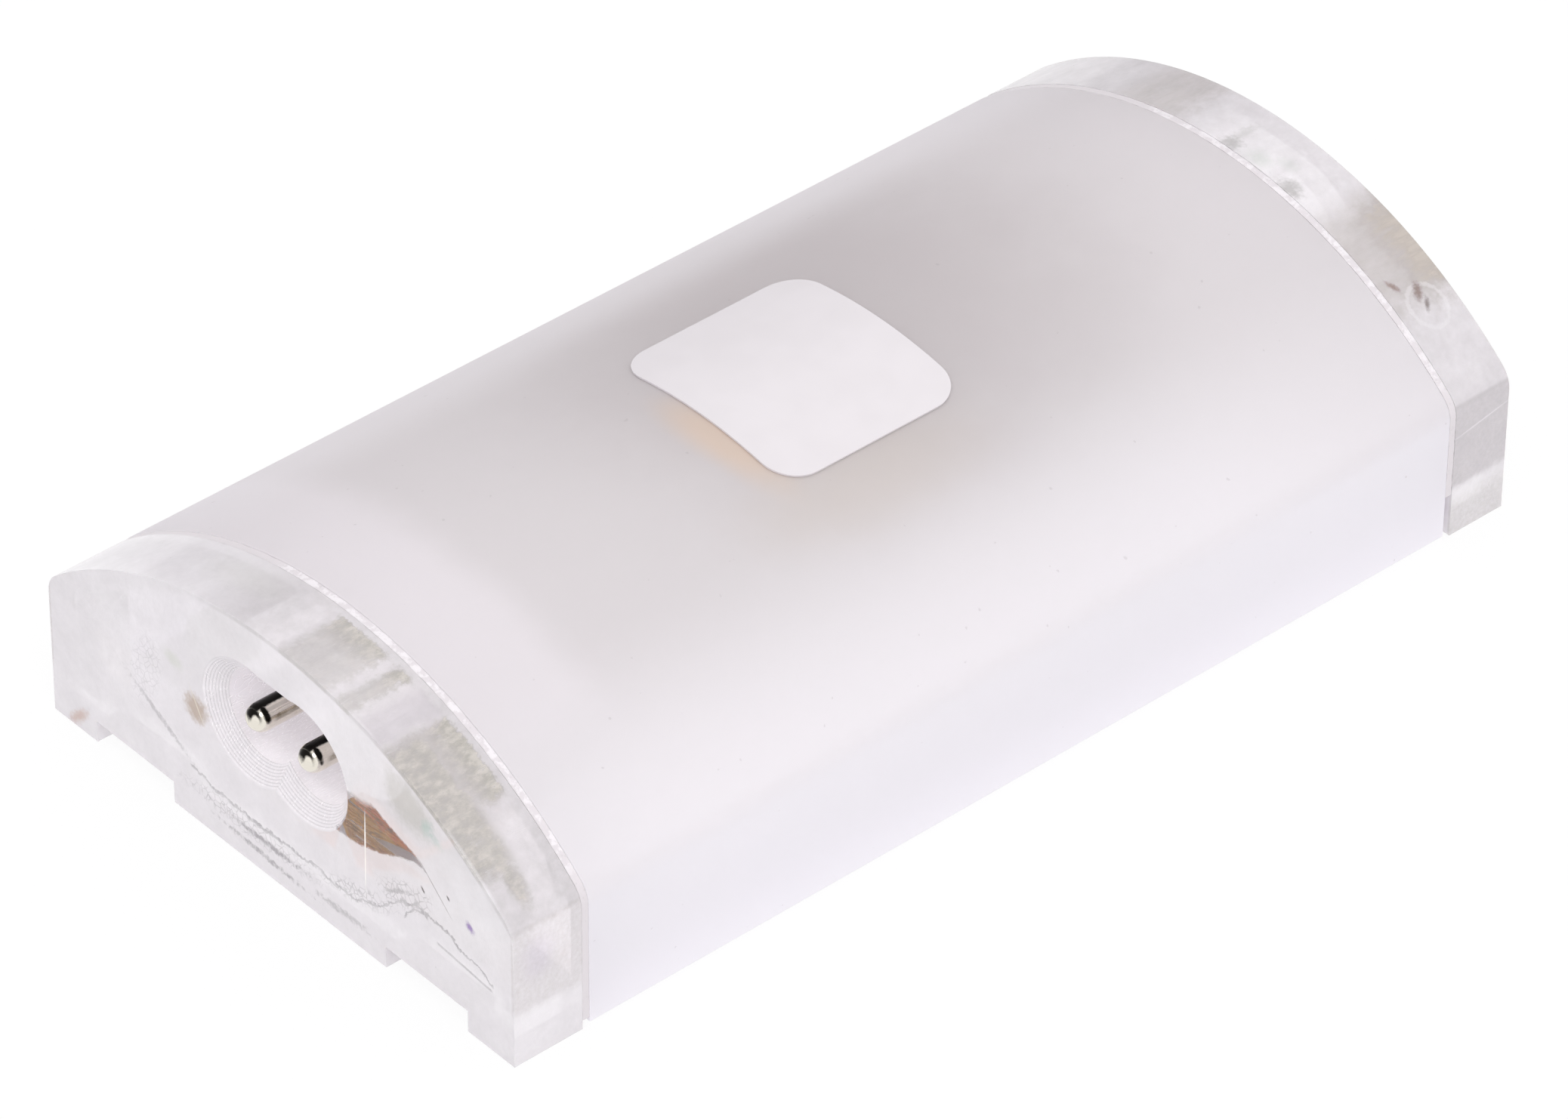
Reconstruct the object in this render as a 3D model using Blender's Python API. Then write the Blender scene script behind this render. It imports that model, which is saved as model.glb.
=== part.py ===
"""Linkable LED light module: frosted D-section cover, clear end caps, plug pins and a touch dimmer board.

Frame: X runs along the module, Y across it, Z up. The origin is the middle of the underside, on the plane
of the feet. Each end is modelled in its own frame, whose +X points into the module, and turned into place.
All sizes are in metres.
"""

import math

import bmesh
import bpy
from mathutils import Matrix, Vector

# Outside of the module
LENGTH = 0.0668
WIDTH = 0.0360
HEIGHT = 0.0153
SIDE_HEIGHT = 0.0076
SHOULDER_RADIUS = 0.0017
BODY_LIFT = 0.0002

# Cover and base
COVER_WALL = 0.0015
BASE_WEB = 0.0012
FOOT_WIDTH = 0.0035
PAD_WIDTH = 0.0166
GROOVE_DEPTH = 0.0013

# End caps
LEFT_FLANGE = 0.0043
RIGHT_FLANGE = 0.0038
SPIGOT_LENGTH = 0.0050

# Plug: two countersunk bores with a pin in each
PIN_PITCH = 0.0041
PIN_RADIUS = 0.000775
PIN_RECESS = 0.00005
PIN_TAIL = 0.0016
MOUTH_RADIUS = 0.0036
MOUTH_DEPTH = 0.0009
BORE_RADIUS = 0.0026
BORE_DEPTH = 0.0072
ROOF_OVER_MOUTH = 0.00275
BRIDGE_BELOW_MOUTH_TOP = 0.0001

# Fits: FIT is between pieces that slide together, FILM between stacked ones
FIT = 0.0003
FILM = 0.0002
PIN_FIT = 0.00015
BOND_GAP = 0.00045
BOND_THICKNESS = 0.0002
BOND_SETBACK = 0.0003

# Circuit board and what stands on it
BOARD_END_ROOM = 0.0021
BOARD_SIDE_ROOM = 0.0015
BOARD_THICKNESS = 0.0010
BOARD_CORNER = 0.0010
BOARD_PAD_THICKNESS = 0.0005
BOARD_PAD_MARGIN = 0.0015
LED_SIZE = (0.0028, 0.0035, 0.0008)
LED_COUNT = 6
LED_RIM = 0.0004
LED_WINDOW_DEPTH = 0.0001
LED_SPRING_ROOM = 0.0012
LED_END_ROOM = 0.0010
CHIP_ROW = 0.0072
CHIP_MIDDLE = 0.0104
CHIP_EDGE = 0.00015
RESISTOR_SIZE = (0.0020, 0.00125, 0.0005)
RESISTOR_COUNT = 3
CERAMIC_SIZE = (0.0020, 0.00125, 0.0009)
CERAMIC_COUNT = 2
SMALL_PART_PITCH = 0.0030
SMALL_PART_EDGE = 0.00006
SOP8_SIZE = (0.0049, 0.0039, 0.0015)
SOP8_LEGS = 4
MOSFET_SIZE = (0.0061, 0.0062, 0.0023)
MOSFET_LEGS = 2
REGULATOR_SIZE = (0.0045, 0.0025, 0.0015)
REGULATOR_LEGS = 3
LEG_WIDTH = 0.0004
LEG_REACH = 0.0010
LEG_THICKNESS = 0.0002
CAN_RADIUS = 0.0025
CAN_HEIGHT = 0.0054
CAN_EDGE = 0.00025
CAN_GROOVE_HEIGHT = 0.0011
CAN_GROOVE_DEPTH = 0.0002

# Touch pad: label outside, foil inside the crown, spring down to the board
LABEL_LENGTH = 0.0120
LABEL_WIDTH = 0.0132
LABEL_CORNER = 0.0020
LABEL_THICKNESS = 0.00025
LABEL_FILM = 0.0001
FOIL_LENGTH = 0.0100
FOIL_WIDTH = 0.0090
FOIL_CORNER = 0.0010
FOIL_THICKNESS = 0.0002
SPRING_WIRE = 0.0005
SPRING_FOOT_RADIUS = 0.0032
SPRING_HEAD_RADIUS = 0.0022
SPRING_TURNS = 6

# Leads: bare strands, wide at the pin and twisted at the board
LEAD_WIDE = 0.00075
LEAD_NARROW = 0.00035
LEAD_PAD_SPREAD = 0.0160
LEAD_PAD_REACH = 0.0012
LEAD_DROP_SHARE = 0.7
LEAD_TAPER_SPEED = 1.5

# Steps on round outlines
DOME_STEPS = 32
SHOULDER_STEPS = 5
ROUND_STEPS = 32
SMALL_ROUND_STEPS = 16
CORNER_STEPS = 6
SHEET_STEPS = 8
LEAD_STEPS = 14
LEAD_SIDES = 8
SPRING_STEPS_PER_TURN = 14
SPRING_SIDES = 6
NOSE_STEPS = 4
SHARP_ANGLE = math.radians(35)

# How far a cutter stands out of the face it cuts, and the distance under which points are one
CUTTER_MARGIN = 0.0005
MERGE_DISTANCE = 1e-7

# Sizes that follow from the ones above
BASE_TOP = GROOVE_DEPTH + BASE_WEB
BOARD_PAD_BOTTOM = BASE_TOP + FILM
BOARD_BOTTOM = BOARD_PAD_BOTTOM + BOARD_PAD_THICKNESS + FILM
BOARD_TOP = BOARD_BOTTOM + BOARD_THICKNESS
BOARD_LENGTH = LENGTH - LEFT_FLANGE - RIGHT_FLANGE - 2 * (SPIGOT_LENGTH + BOARD_END_ROOM)
BOARD_WIDTH = WIDTH - 2 * (COVER_WALL + BOARD_SIDE_ROOM)
BODY_MIDDLE = (LEFT_FLANGE - RIGHT_FLANGE) / 2
PARTS_ON_BOARD = BOARD_TOP + FILM
PIN_AXIS_HEIGHT = HEIGHT - ROOF_OVER_MOUTH - MOUTH_RADIUS
SHOULDER_CENTRE = WIDTH / 2 - SHOULDER_RADIUS
CROWN_INSIDE = HEIGHT - COVER_WALL

MATERIALS = {
    "frosted_acrylic": ((0.86, 0.84, 0.87), 0.45, 0.0, 0.35),
    "clear_acrylic": ((0.93, 0.92, 0.93), 0.05, 0.0, 1.0),
    "white_plastic": ((0.85, 0.84, 0.85), 0.4, 0.0, 0.0),
    "adhesive": ((0.90, 0.89, 0.90), 0.3, 0.0, 0.5),
    "nickel": ((0.78, 0.75, 0.68), 0.08, 1.0, 0.0),
    "copper": ((0.60, 0.28, 0.10), 0.3, 1.0, 0.0),
    "board_white": ((0.80, 0.82, 0.78), 0.5, 0.0, 0.0),
    "pad_grey": ((0.55, 0.55, 0.56), 0.8, 0.0, 0.0),
    "led_body": ((0.85, 0.75, 0.35), 0.4, 0.0, 0.0),
    "chip_black": ((0.03, 0.03, 0.03), 0.5, 0.0, 0.0),
    "ceramic_tan": ((0.45, 0.33, 0.20), 0.5, 0.0, 0.0),
    "can_aluminium": ((0.70, 0.70, 0.72), 0.25, 1.0, 0.0),
    "label_white": ((0.90, 0.89, 0.91), 0.35, 0.0, 0.0),
}


def clear_scene():
    for thing in list(bpy.data.objects):
        bpy.data.objects.remove(thing, do_unlink=True)


def material(name):
    found = bpy.data.materials.get(name)
    if found:
        return found
    colour, roughness, metallic, transmission = MATERIALS[name]
    made = bpy.data.materials.new(name)
    made.use_nodes = True
    shader = made.node_tree.nodes["Principled BSDF"]
    shader.inputs["Base Color"].default_value = (*colour, 1.0)
    shader.inputs["Roughness"].default_value = roughness
    shader.inputs["Metallic"].default_value = metallic
    shader.inputs["Transmission Weight"].default_value = transmission
    return made


def add_object(name, mesh_builder, material_name, parent=None, location=(0, 0, 0), smooth=False):
    """Turn a bmesh into a named object with its normals outward."""
    bmesh.ops.recalc_face_normals(mesh_builder, faces=mesh_builder.faces)
    mesh = bpy.data.meshes.new(name)
    mesh_builder.to_mesh(mesh)
    mesh_builder.free()
    mesh.materials.append(material(material_name))
    if smooth:
        mesh.shade_smooth()
        mesh.set_sharp_from_angle(angle=SHARP_ANGLE)
    thing = bpy.data.objects.new(name, mesh)
    thing.location = location
    thing.parent = parent
    bpy.context.collection.objects.link(thing)
    return thing


def add_cutter(name, mesh_builder, parent=None):
    cutter = add_object(name, mesh_builder, "white_plastic", parent)
    cutter.hide_render = True
    cutter.display_type = "WIRE"
    return cutter


def boolean(target, other, operation):
    step = target.modifiers.new(other.name, "BOOLEAN")
    step.operation = operation
    step.solver = "EXACT"
    step.object = other


# Outlines and solids


def arc(centre_y, centre_z, radius, start, end, steps):
    """Points on an arc, its first and last included, with angles from the +Y axis."""
    points = []
    for step in range(steps + 1):
        angle = start + (end - start) * step / steps
        points.append((centre_y + radius * math.cos(angle), centre_z + radius * math.sin(angle)))
    return points


def dome_radius():
    """Radius of the crown arc that runs through the top and is tangent to both shoulder arcs."""
    rise = SIDE_HEIGHT - HEIGHT
    top = SHOULDER_RADIUS ** 2 - SHOULDER_CENTRE ** 2 - rise ** 2
    return top / (2 * rise + 2 * SHOULDER_RADIUS)


def shell_arc(inset):
    """The D outline's upper part, from the right wall over the crown to the left wall, set in by inset."""
    radius = dome_radius()
    centre_z = HEIGHT - radius
    shoulder = SHOULDER_RADIUS - inset
    if shoulder > 0:
        join = math.atan2(SIDE_HEIGHT - centre_z, SHOULDER_CENTRE)
        right = arc(SHOULDER_CENTRE, SIDE_HEIGHT, shoulder, 0, join, SHOULDER_STEPS)
        crown = arc(0, centre_z, radius - inset, join, math.pi - join, DOME_STEPS)
        left = arc(-SHOULDER_CENTRE, SIDE_HEIGHT, shoulder, math.pi - join, math.pi, SHOULDER_STEPS)
        return right + crown[1:-1] + left
    join = math.acos((WIDTH / 2 - inset) / (radius - inset))
    return arc(0, centre_z, radius - inset, join, math.pi - join, DOME_STEPS)


def extrude_outline(points, start, length):
    """Solid with the (y, z) outline, from x = start to start + length."""
    builder = bmesh.new()
    ring = [builder.verts.new((start, y, z)) for y, z in points]
    face = builder.faces.new(ring)
    moved = bmesh.ops.extrude_face_region(builder, geom=[face])
    far_verts = [item for item in moved["geom"] if isinstance(item, bmesh.types.BMVert)]
    bmesh.ops.translate(builder, vec=(length, 0, 0), verts=far_verts)
    return builder


def turned(profile, steps):
    """Solid turned about the X axis from (x, radius) points whose first and last lie on the axis."""
    builder = bmesh.new()
    verts = [builder.verts.new((x, 0, radius)) for x, radius in profile]
    edges = [builder.edges.new(pair) for pair in zip(verts, verts[1:])]
    bmesh.ops.spin(
        builder, geom=verts + edges, cent=(0, 0, 0), axis=(1, 0, 0), angle=2 * math.pi, steps=steps,
        use_merge=True,
    )
    bmesh.ops.remove_doubles(builder, verts=builder.verts, dist=MERGE_DISTANCE)
    return builder


def block(size, centre=(0, 0, 0), bevel=0.0):
    builder = bmesh.new()
    bmesh.ops.create_cube(builder, size=1.0)
    bmesh.ops.scale(builder, vec=size, verts=builder.verts)
    if bevel:
        bmesh.ops.bevel(builder, geom=builder.edges[:], offset=bevel, segments=1, affect="EDGES")
    bmesh.ops.translate(builder, vec=centre, verts=builder.verts)
    return builder


def rounded_rectangle(length, width, corner):
    """Plan outline (x, y) with round corners."""
    points = []
    for quarter in range(4):
        start = quarter * math.pi / 2
        side_x = 1 if quarter in (0, 3) else -1
        side_y = 1 if quarter in (0, 1) else -1
        centre = (side_x * (length / 2 - corner), side_y * (width / 2 - corner))
        points += arc(*centre, corner, start, start + math.pi / 2, CORNER_STEPS)
    return points


def plate(points, thickness):
    """Flat plate with the (x, y) outline, standing on z = 0."""
    builder = bmesh.new()
    face = builder.faces.new([builder.verts.new((x, y, 0)) for x, y in points])
    moved = bmesh.ops.extrude_face_region(builder, geom=[face])
    top_verts = [item for item in moved["geom"] if isinstance(item, bmesh.types.BMVert)]
    bmesh.ops.translate(builder, vec=(0, 0, thickness), verts=top_verts)
    return builder


def sheet_columns(length, width, corner):
    """Places across a round-cornered sheet, each with the sheet's half length there."""
    side = []
    for step in range(CORNER_STEPS + 1):
        angle = math.pi / 2 * step / CORNER_STEPS
        side.append((
            width / 2 - corner + corner * math.cos(angle),
            length / 2 - corner + corner * math.sin(angle),
        ))
    inner = side[-1][0]
    middle = []
    for step in range(1, SHEET_STEPS):
        middle.append((inner * (2 * step / SHEET_STEPS - 1), length / 2))
    left = [(-across, half_length) for across, half_length in side]
    return left + middle + list(reversed(side))


def crown_sheet(length, width, corner, inner_radius, thickness):
    """Round-cornered sheet of even thickness that follows the crown, centred over x = 0."""
    centre_z = HEIGHT - dome_radius()
    builder = bmesh.new()
    layers = []
    for radius in (inner_radius, inner_radius + thickness):
        rows = []
        for across, half_length in sheet_columns(length, width, corner):
            angle = across / inner_radius
            y = radius * math.sin(angle)
            z = centre_z + radius * math.cos(angle)
            rows.append([builder.verts.new((x, y, z)) for x in (-half_length, half_length)])
        layers.append(rows)
    bottom, top = layers
    last = len(bottom) - 1
    for first in range(last):
        second = first + 1
        for rows in layers:
            builder.faces.new((rows[first][0], rows[first][1], rows[second][1], rows[second][0]))
        for end in (0, 1):
            builder.faces.new((bottom[first][end], bottom[second][end], top[second][end], top[first][end]))
    for edge in (0, last):
        builder.faces.new((bottom[edge][0], bottom[edge][1], top[edge][1], top[edge][0]))
    return builder


def tube(points, radii, sides):
    """Closed tube through the points, with a radius at each."""
    builder = bmesh.new()
    rings = []
    side_way = None
    for index, point in enumerate(points):
        before = points[max(index - 1, 0)]
        after = points[min(index + 1, len(points) - 1)]
        forward = (after - before).normalized()
        if side_way is None:
            side_way = forward.orthogonal().normalized()
        side_way = (side_way - forward * side_way.dot(forward)).normalized()
        up_way = forward.cross(side_way)
        ring = []
        for side in range(sides):
            angle = 2 * math.pi * side / sides
            offset = side_way * math.cos(angle) + up_way * math.sin(angle)
            ring.append(builder.verts.new(point + offset * radii[index]))
        rings.append(ring)
    for first, second in zip(rings, rings[1:]):
        for side in range(sides):
            after = (side + 1) % sides
            builder.faces.new((first[side], first[after], second[after], second[side]))
    builder.faces.new(rings[0])
    builder.faces.new(rings[-1])
    return builder


# Cover and base


def cover_start():
    return -LENGTH / 2 + LEFT_FLANGE + BOND_GAP


def cover_end():
    return LENGTH / 2 - RIGHT_FLANGE - BOND_GAP


def make_cover():
    outer = shell_arc(0)
    inner = shell_arc(COVER_WALL)
    outer_y = WIDTH / 2
    inner_y = WIDTH / 2 - COVER_WALL
    points = [(outer_y, BODY_LIFT)] + outer + [(-outer_y, BODY_LIFT), (-inner_y, BODY_LIFT)]
    points += list(reversed(inner)) + [(inner_y, BODY_LIFT)]
    builder = extrude_outline(points, cover_start(), cover_end() - cover_start())
    add_object("cover_shell", builder, "frosted_acrylic", smooth=True)


def ribbed_underside(half_width, foot_width, bottom):
    """Underside outline from the left edge to the right one: foot, groove, centre pad, groove, foot."""
    foot = half_width - foot_width
    pad = PAD_WIDTH / 2
    return [
        (-half_width, bottom), (-foot, bottom), (-foot, GROOVE_DEPTH), (-pad, GROOVE_DEPTH), (-pad, bottom),
        (pad, bottom), (pad, GROOVE_DEPTH), (foot, GROOVE_DEPTH), (foot, bottom), (half_width, bottom),
    ]


def make_base():
    half_width = WIDTH / 2 - COVER_WALL - FIT
    rail_width = FOOT_WIDTH - COVER_WALL - FIT
    points = ribbed_underside(half_width, rail_width, BODY_LIFT)
    points += [(half_width, BASE_TOP), (-half_width, BASE_TOP)]
    builder = extrude_outline(points, cover_start(), cover_end() - cover_start())
    add_object("base_plate", builder, "white_plastic")


# Ends


def bore_cutter():
    """Turned cutter: countersink, bore and pin hole on one axis."""
    flare = (MOUTH_RADIUS - BORE_RADIUS) / MOUTH_DEPTH
    through = LEFT_FLANGE + RIGHT_FLANGE + SPIGOT_LENGTH + BORE_DEPTH
    profile = [
        (-CUTTER_MARGIN, 0),
        (-CUTTER_MARGIN, MOUTH_RADIUS + CUTTER_MARGIN * flare),
        (MOUTH_DEPTH, BORE_RADIUS),
        (BORE_DEPTH, BORE_RADIUS),
        (BORE_DEPTH, PIN_RADIUS + PIN_FIT),
        (through, PIN_RADIUS + PIN_FIT),
        (through, 0),
    ]
    return turned(profile, ROUND_STEPS)


def bridge_cutter():
    """Block that opens the web between the two bores, above the pin axis."""
    height = MOUTH_RADIUS - BRIDGE_BELOW_MOUTH_TOP
    size = (BORE_DEPTH + CUTTER_MARGIN, PIN_PITCH, height)
    centre = ((BORE_DEPTH - CUTTER_MARGIN) / 2, 0, PIN_AXIS_HEIGHT + height / 2)
    return block(size, centre)


def make_cap(end, side, flange):
    """Clear cap: a flange with feet, and a spigot that fits the inside of the cover."""
    points = ribbed_underside(WIDTH / 2, FOOT_WIDTH, 0) + shell_arc(0)
    cap = add_object(f"{side}_end_cap", extrude_outline(points, 0, flange), "clear_acrylic", end, smooth=True)
    inset = COVER_WALL + FIT
    spigot_side = WIDTH / 2 - inset
    bottom = BASE_TOP + FIT
    spigot_points = [(-spigot_side, bottom), (spigot_side, bottom)] + shell_arc(inset)
    overlap = flange / 2
    spigot = extrude_outline(spigot_points, overlap, flange - overlap + SPIGOT_LENGTH)
    boolean(cap, add_cutter(f"{side}_spigot_tool", spigot, end), "UNION")
    for row in (-1, 1):
        tool = add_cutter(f"{side}_bore_tool_{row}", bore_cutter(), end)
        tool.location = (0, row * PIN_PITCH / 2, PIN_AXIS_HEIGHT)
        boolean(cap, tool, "DIFFERENCE")
    boolean(cap, add_cutter(f"{side}_bridge_tool", bridge_cutter(), end), "DIFFERENCE")
    return cap


def make_pin(end, name, row, flange):
    """Round-nosed pin from just inside the mouth to its tail behind the spigot."""
    tail_end = flange + SPIGOT_LENGTH + PIN_TAIL
    nose = []
    for step in range(NOSE_STEPS + 1):
        angle = math.pi / 2 * step / NOSE_STEPS
        nose.append((PIN_RECESS + PIN_RADIUS * (1 - math.cos(angle)), PIN_RADIUS * math.sin(angle)))
    profile = nose + [(tail_end, PIN_RADIUS), (tail_end, 0)]
    place = (0, row * PIN_PITCH / 2, PIN_AXIS_HEIGHT)
    add_object(name, turned(profile, SMALL_ROUND_STEPS), "nickel", end, place, smooth=True)


def bezier(a, b, c, d, t):
    return a * (1 - t) ** 3 + b * 3 * t * (1 - t) ** 2 + c * 3 * t ** 2 * (1 - t) + d * t ** 3


def make_lead(end, name, row, flange):
    """Bare strands from under the pin's tail down to a pad near the board's corner, wide end first."""
    spigot_end = flange + SPIGOT_LENGTH
    tail_middle = spigot_end + PIN_TAIL / 2
    start_z = PIN_AXIS_HEIGHT - PIN_RADIUS - FIT
    pad_y = LEAD_PAD_SPREAD / 2
    pad_z = BOARD_TOP + FIT + LEAD_NARROW
    start = Vector((tail_middle + LEAD_WIDE / 2, row * (PIN_PITCH / 2 + FIT), start_z))
    finish = Vector((spigot_end + BOARD_END_ROOM + LEAD_PAD_REACH, row * pad_y, pad_z))
    down = start - Vector((LEAD_WIDE / 4, 0, (start_z - pad_z) * LEAD_DROP_SHARE))
    across = Vector((tail_middle, row * pad_y, pad_z + LEAD_NARROW))
    points = []
    radii = []
    for step in range(LEAD_STEPS + 1):
        share = step / LEAD_STEPS
        points.append(bezier(start, down, across, finish, share))
        radii.append(LEAD_WIDE + (LEAD_NARROW - LEAD_WIDE) * min(1.0, LEAD_TAPER_SPEED * share))
    add_object(name, tube(points, radii, LEAD_SIDES), "copper", end, smooth=True)


def make_bond_line(end, side, flange):
    """Thin adhesive ring between the flange and the end of the cover."""
    outer = shell_arc(BOND_SETBACK)
    inner = shell_arc(COVER_WALL)
    bottom = BODY_LIFT + FIT
    outer_y = WIDTH / 2 - BOND_SETBACK
    inner_y = WIDTH / 2 - COVER_WALL
    points = [(outer_y, bottom)] + outer + [(-outer_y, bottom), (-inner_y, bottom)]
    points += list(reversed(inner)) + [(inner_y, bottom)]
    start = flange + (BOND_GAP - BOND_THICKNESS) / 2
    builder = extrude_outline(points, start, BOND_THICKNESS)
    add_object(f"{side}_bond_line", builder, "adhesive", end)


def make_end(side, flange):
    end = bpy.data.objects.new(f"{side}_end", None)
    bpy.context.collection.objects.link(end)
    facing = -1 if side == "left" else 1
    end.location = (facing * LENGTH / 2, 0, 0)
    if facing > 0:
        end.rotation_euler = (0, 0, math.pi)
    make_cap(end, side, flange)
    make_bond_line(end, side, flange)
    for place, world_row in (("front", -1), ("back", 1)):
        row = -facing * world_row
        make_pin(end, f"{side}_pin_{place}", row, flange)
        make_lead(end, f"{side}_lead_{place}", row, flange)


# Electronics


def make_board():
    pad_length = BOARD_LENGTH - 2 * BOARD_PAD_MARGIN
    pad_width = BOARD_WIDTH - 2 * BOARD_PAD_MARGIN
    pad = plate(rounded_rectangle(pad_length, pad_width, BOARD_CORNER), BOARD_PAD_THICKNESS)
    add_object("board_pad", pad, "pad_grey", None, (BODY_MIDDLE, 0, BOARD_PAD_BOTTOM))
    board = plate(rounded_rectangle(BOARD_LENGTH, BOARD_WIDTH, BOARD_CORNER), BOARD_THICKNESS)
    add_object("circuit_board", board, "board_white", None, (BODY_MIDDLE, 0, BOARD_BOTTOM))


def make_led(name, x):
    """White package with its phosphor window set a little below the rim."""
    builder = block(LED_SIZE, (0, 0, LED_SIZE[2] / 2))
    top = max(builder.faces, key=lambda face: face.calc_center_median().z)
    bmesh.ops.inset_region(builder, faces=[top], thickness=LED_RIM)
    bmesh.ops.translate(builder, vec=(0, 0, -LED_WINDOW_DEPTH), verts=top.verts)
    add_object(name, builder, "led_body", None, (x, 0, PARTS_ON_BOARD))


def make_leds():
    """Lamps along the middle of the board, spread between the touch spring and the board's ends."""
    per_side = LED_COUNT // 2
    nearest = SPRING_FOOT_RADIUS + SPRING_WIRE / 2 + LED_SPRING_ROOM + LED_SIZE[0] / 2
    furthest = BOARD_LENGTH / 2 - abs(BODY_MIDDLE) - LED_END_ROOM - LED_SIZE[0] / 2
    pitch = (furthest - nearest) / (per_side - 1)
    places = [nearest + step * pitch for step in range(per_side)]
    for number, x in enumerate([-place for place in reversed(places)] + places):
        make_led(f"led_{number + 1}", x)


def make_chip(name, size, legs, x, y):
    """Moulded chip with a row of bent-down legs on both long sides."""
    lift = LEG_THICKNESS / 2
    body = block(size, (0, 0, size[2] / 2 + lift), bevel=CHIP_EDGE)
    chip = add_object(name, body, "chip_black", None, (x, y, PARTS_ON_BOARD))
    pitch = size[0] / legs
    foot_height = LEG_THICKNESS + lift
    for number in range(legs):
        leg_x = (number - (legs - 1) / 2) * pitch
        foot = block((LEG_WIDTH, size[1] + 2 * LEG_REACH, foot_height), (leg_x, 0, foot_height / 2))
        tool = add_cutter(f"{name}_leg_tool_{number}", foot)
        tool.location = (x, y, PARTS_ON_BOARD)
        boolean(chip, tool, "UNION")


def make_capacitor(x, y):
    """Aluminium can with a rolled groove near its foot."""
    profile = [
        (0, 0),
        (0, CAN_RADIUS),
        (CAN_GROOVE_HEIGHT - CAN_EDGE, CAN_RADIUS),
        (CAN_GROOVE_HEIGHT, CAN_RADIUS - CAN_GROOVE_DEPTH),
        (CAN_GROOVE_HEIGHT + CAN_EDGE, CAN_RADIUS),
        (CAN_HEIGHT - CAN_EDGE, CAN_RADIUS),
        (CAN_HEIGHT, CAN_RADIUS - CAN_EDGE),
        (CAN_HEIGHT, 0),
    ]
    builder = turned(profile, ROUND_STEPS)
    upright = Matrix.Rotation(-math.pi / 2, 3, "Y")
    bmesh.ops.rotate(builder, cent=(0, 0, 0), matrix=upright, verts=builder.verts)
    add_object("filter_capacitor", builder, "can_aluminium", None, (x, y, PARTS_ON_BOARD), smooth=True)


def make_small_row(prefix, count, size, material_name, y):
    for number in range(count):
        x = (number - (count - 1) / 2) * SMALL_PART_PITCH
        builder = block(size, (0, 0, size[2] / 2), bevel=SMALL_PART_EDGE)
        add_object(f"{prefix}_{number + 1}", builder, material_name, None, (x, y, PARTS_ON_BOARD))


def make_electronics():
    make_board()
    make_leds()
    make_chip("touch_chip", SOP8_SIZE, SOP8_LEGS, -CHIP_MIDDLE, -CHIP_ROW)
    make_chip("voltage_regulator", REGULATOR_SIZE, REGULATOR_LEGS, -CHIP_MIDDLE, CHIP_ROW)
    make_chip("dimmer_mosfet", MOSFET_SIZE, MOSFET_LEGS, CHIP_MIDDLE, -CHIP_ROW)
    make_capacitor(CHIP_MIDDLE, CHIP_ROW)
    make_small_row("resistor", RESISTOR_COUNT, RESISTOR_SIZE, "chip_black", -CHIP_ROW)
    make_small_row("ceramic", CERAMIC_COUNT, CERAMIC_SIZE, "ceramic_tan", CHIP_ROW)


# Touch pad


def make_label():
    radius = dome_radius() + LABEL_FILM
    builder = crown_sheet(LABEL_LENGTH, LABEL_WIDTH, LABEL_CORNER, radius, LABEL_THICKNESS)
    add_object("touch_label", builder, "label_white", smooth=True)


def make_foil():
    radius = dome_radius() - COVER_WALL - FILM - FOIL_THICKNESS
    builder = crown_sheet(FOIL_LENGTH, FOIL_WIDTH, FOIL_CORNER, radius, FOIL_THICKNESS)
    add_object("touch_electrode", builder, "copper", smooth=True)


def make_spring():
    """Cone spring of round wire, from the board up to the foil."""
    foot_z = BOARD_TOP + FIT + SPRING_WIRE / 2
    head_z = CROWN_INSIDE - 2 * FILM - FOIL_THICKNESS - FIT - SPRING_WIRE / 2
    steps = SPRING_TURNS * SPRING_STEPS_PER_TURN
    points = []
    for step in range(steps + 1):
        share = step / steps
        angle = 2 * math.pi * SPRING_TURNS * share
        radius = SPRING_FOOT_RADIUS + (SPRING_HEAD_RADIUS - SPRING_FOOT_RADIUS) * share
        height = foot_z + (head_z - foot_z) * share
        points.append(Vector((radius * math.cos(angle), radius * math.sin(angle), height)))
    radii = [SPRING_WIRE / 2] * len(points)
    add_object("touch_spring", tube(points, radii, SPRING_SIDES), "nickel", smooth=True)


def main():
    clear_scene()
    make_cover()
    make_base()
    make_end("left", LEFT_FLANGE)
    make_end("right", RIGHT_FLANGE)
    make_electronics()
    make_label()
    make_foil()
    make_spring()


main()
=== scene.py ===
"""Finished look of a linkable LED light module: frosted D-section cover, clear end caps, plug pins, touch label.

Every piece is built in the frame's own coordinates: X along the module, Y across it, Z up, in metres. Each end is
worked out in its own frame first, with x running into the module from the outer face.
"""

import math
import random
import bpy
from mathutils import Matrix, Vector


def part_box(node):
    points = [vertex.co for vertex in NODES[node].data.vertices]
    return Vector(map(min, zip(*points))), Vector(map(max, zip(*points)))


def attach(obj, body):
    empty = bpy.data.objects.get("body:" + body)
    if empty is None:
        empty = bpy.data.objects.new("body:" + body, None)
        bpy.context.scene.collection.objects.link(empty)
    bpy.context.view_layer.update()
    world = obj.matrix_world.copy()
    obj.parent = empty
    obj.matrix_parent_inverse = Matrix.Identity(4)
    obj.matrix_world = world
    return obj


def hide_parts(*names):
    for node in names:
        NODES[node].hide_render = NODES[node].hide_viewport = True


bl_info = {
    "name": "LED light module",
    "version": (1, 0, 0),
    "blender": (4, 5, 0),
    "location": "3D View > Sidebar > Light module",
    "description": "Builds a frosted light module with clear end caps, plug pins and a touch label",
    "category": "Object",
}

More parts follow.
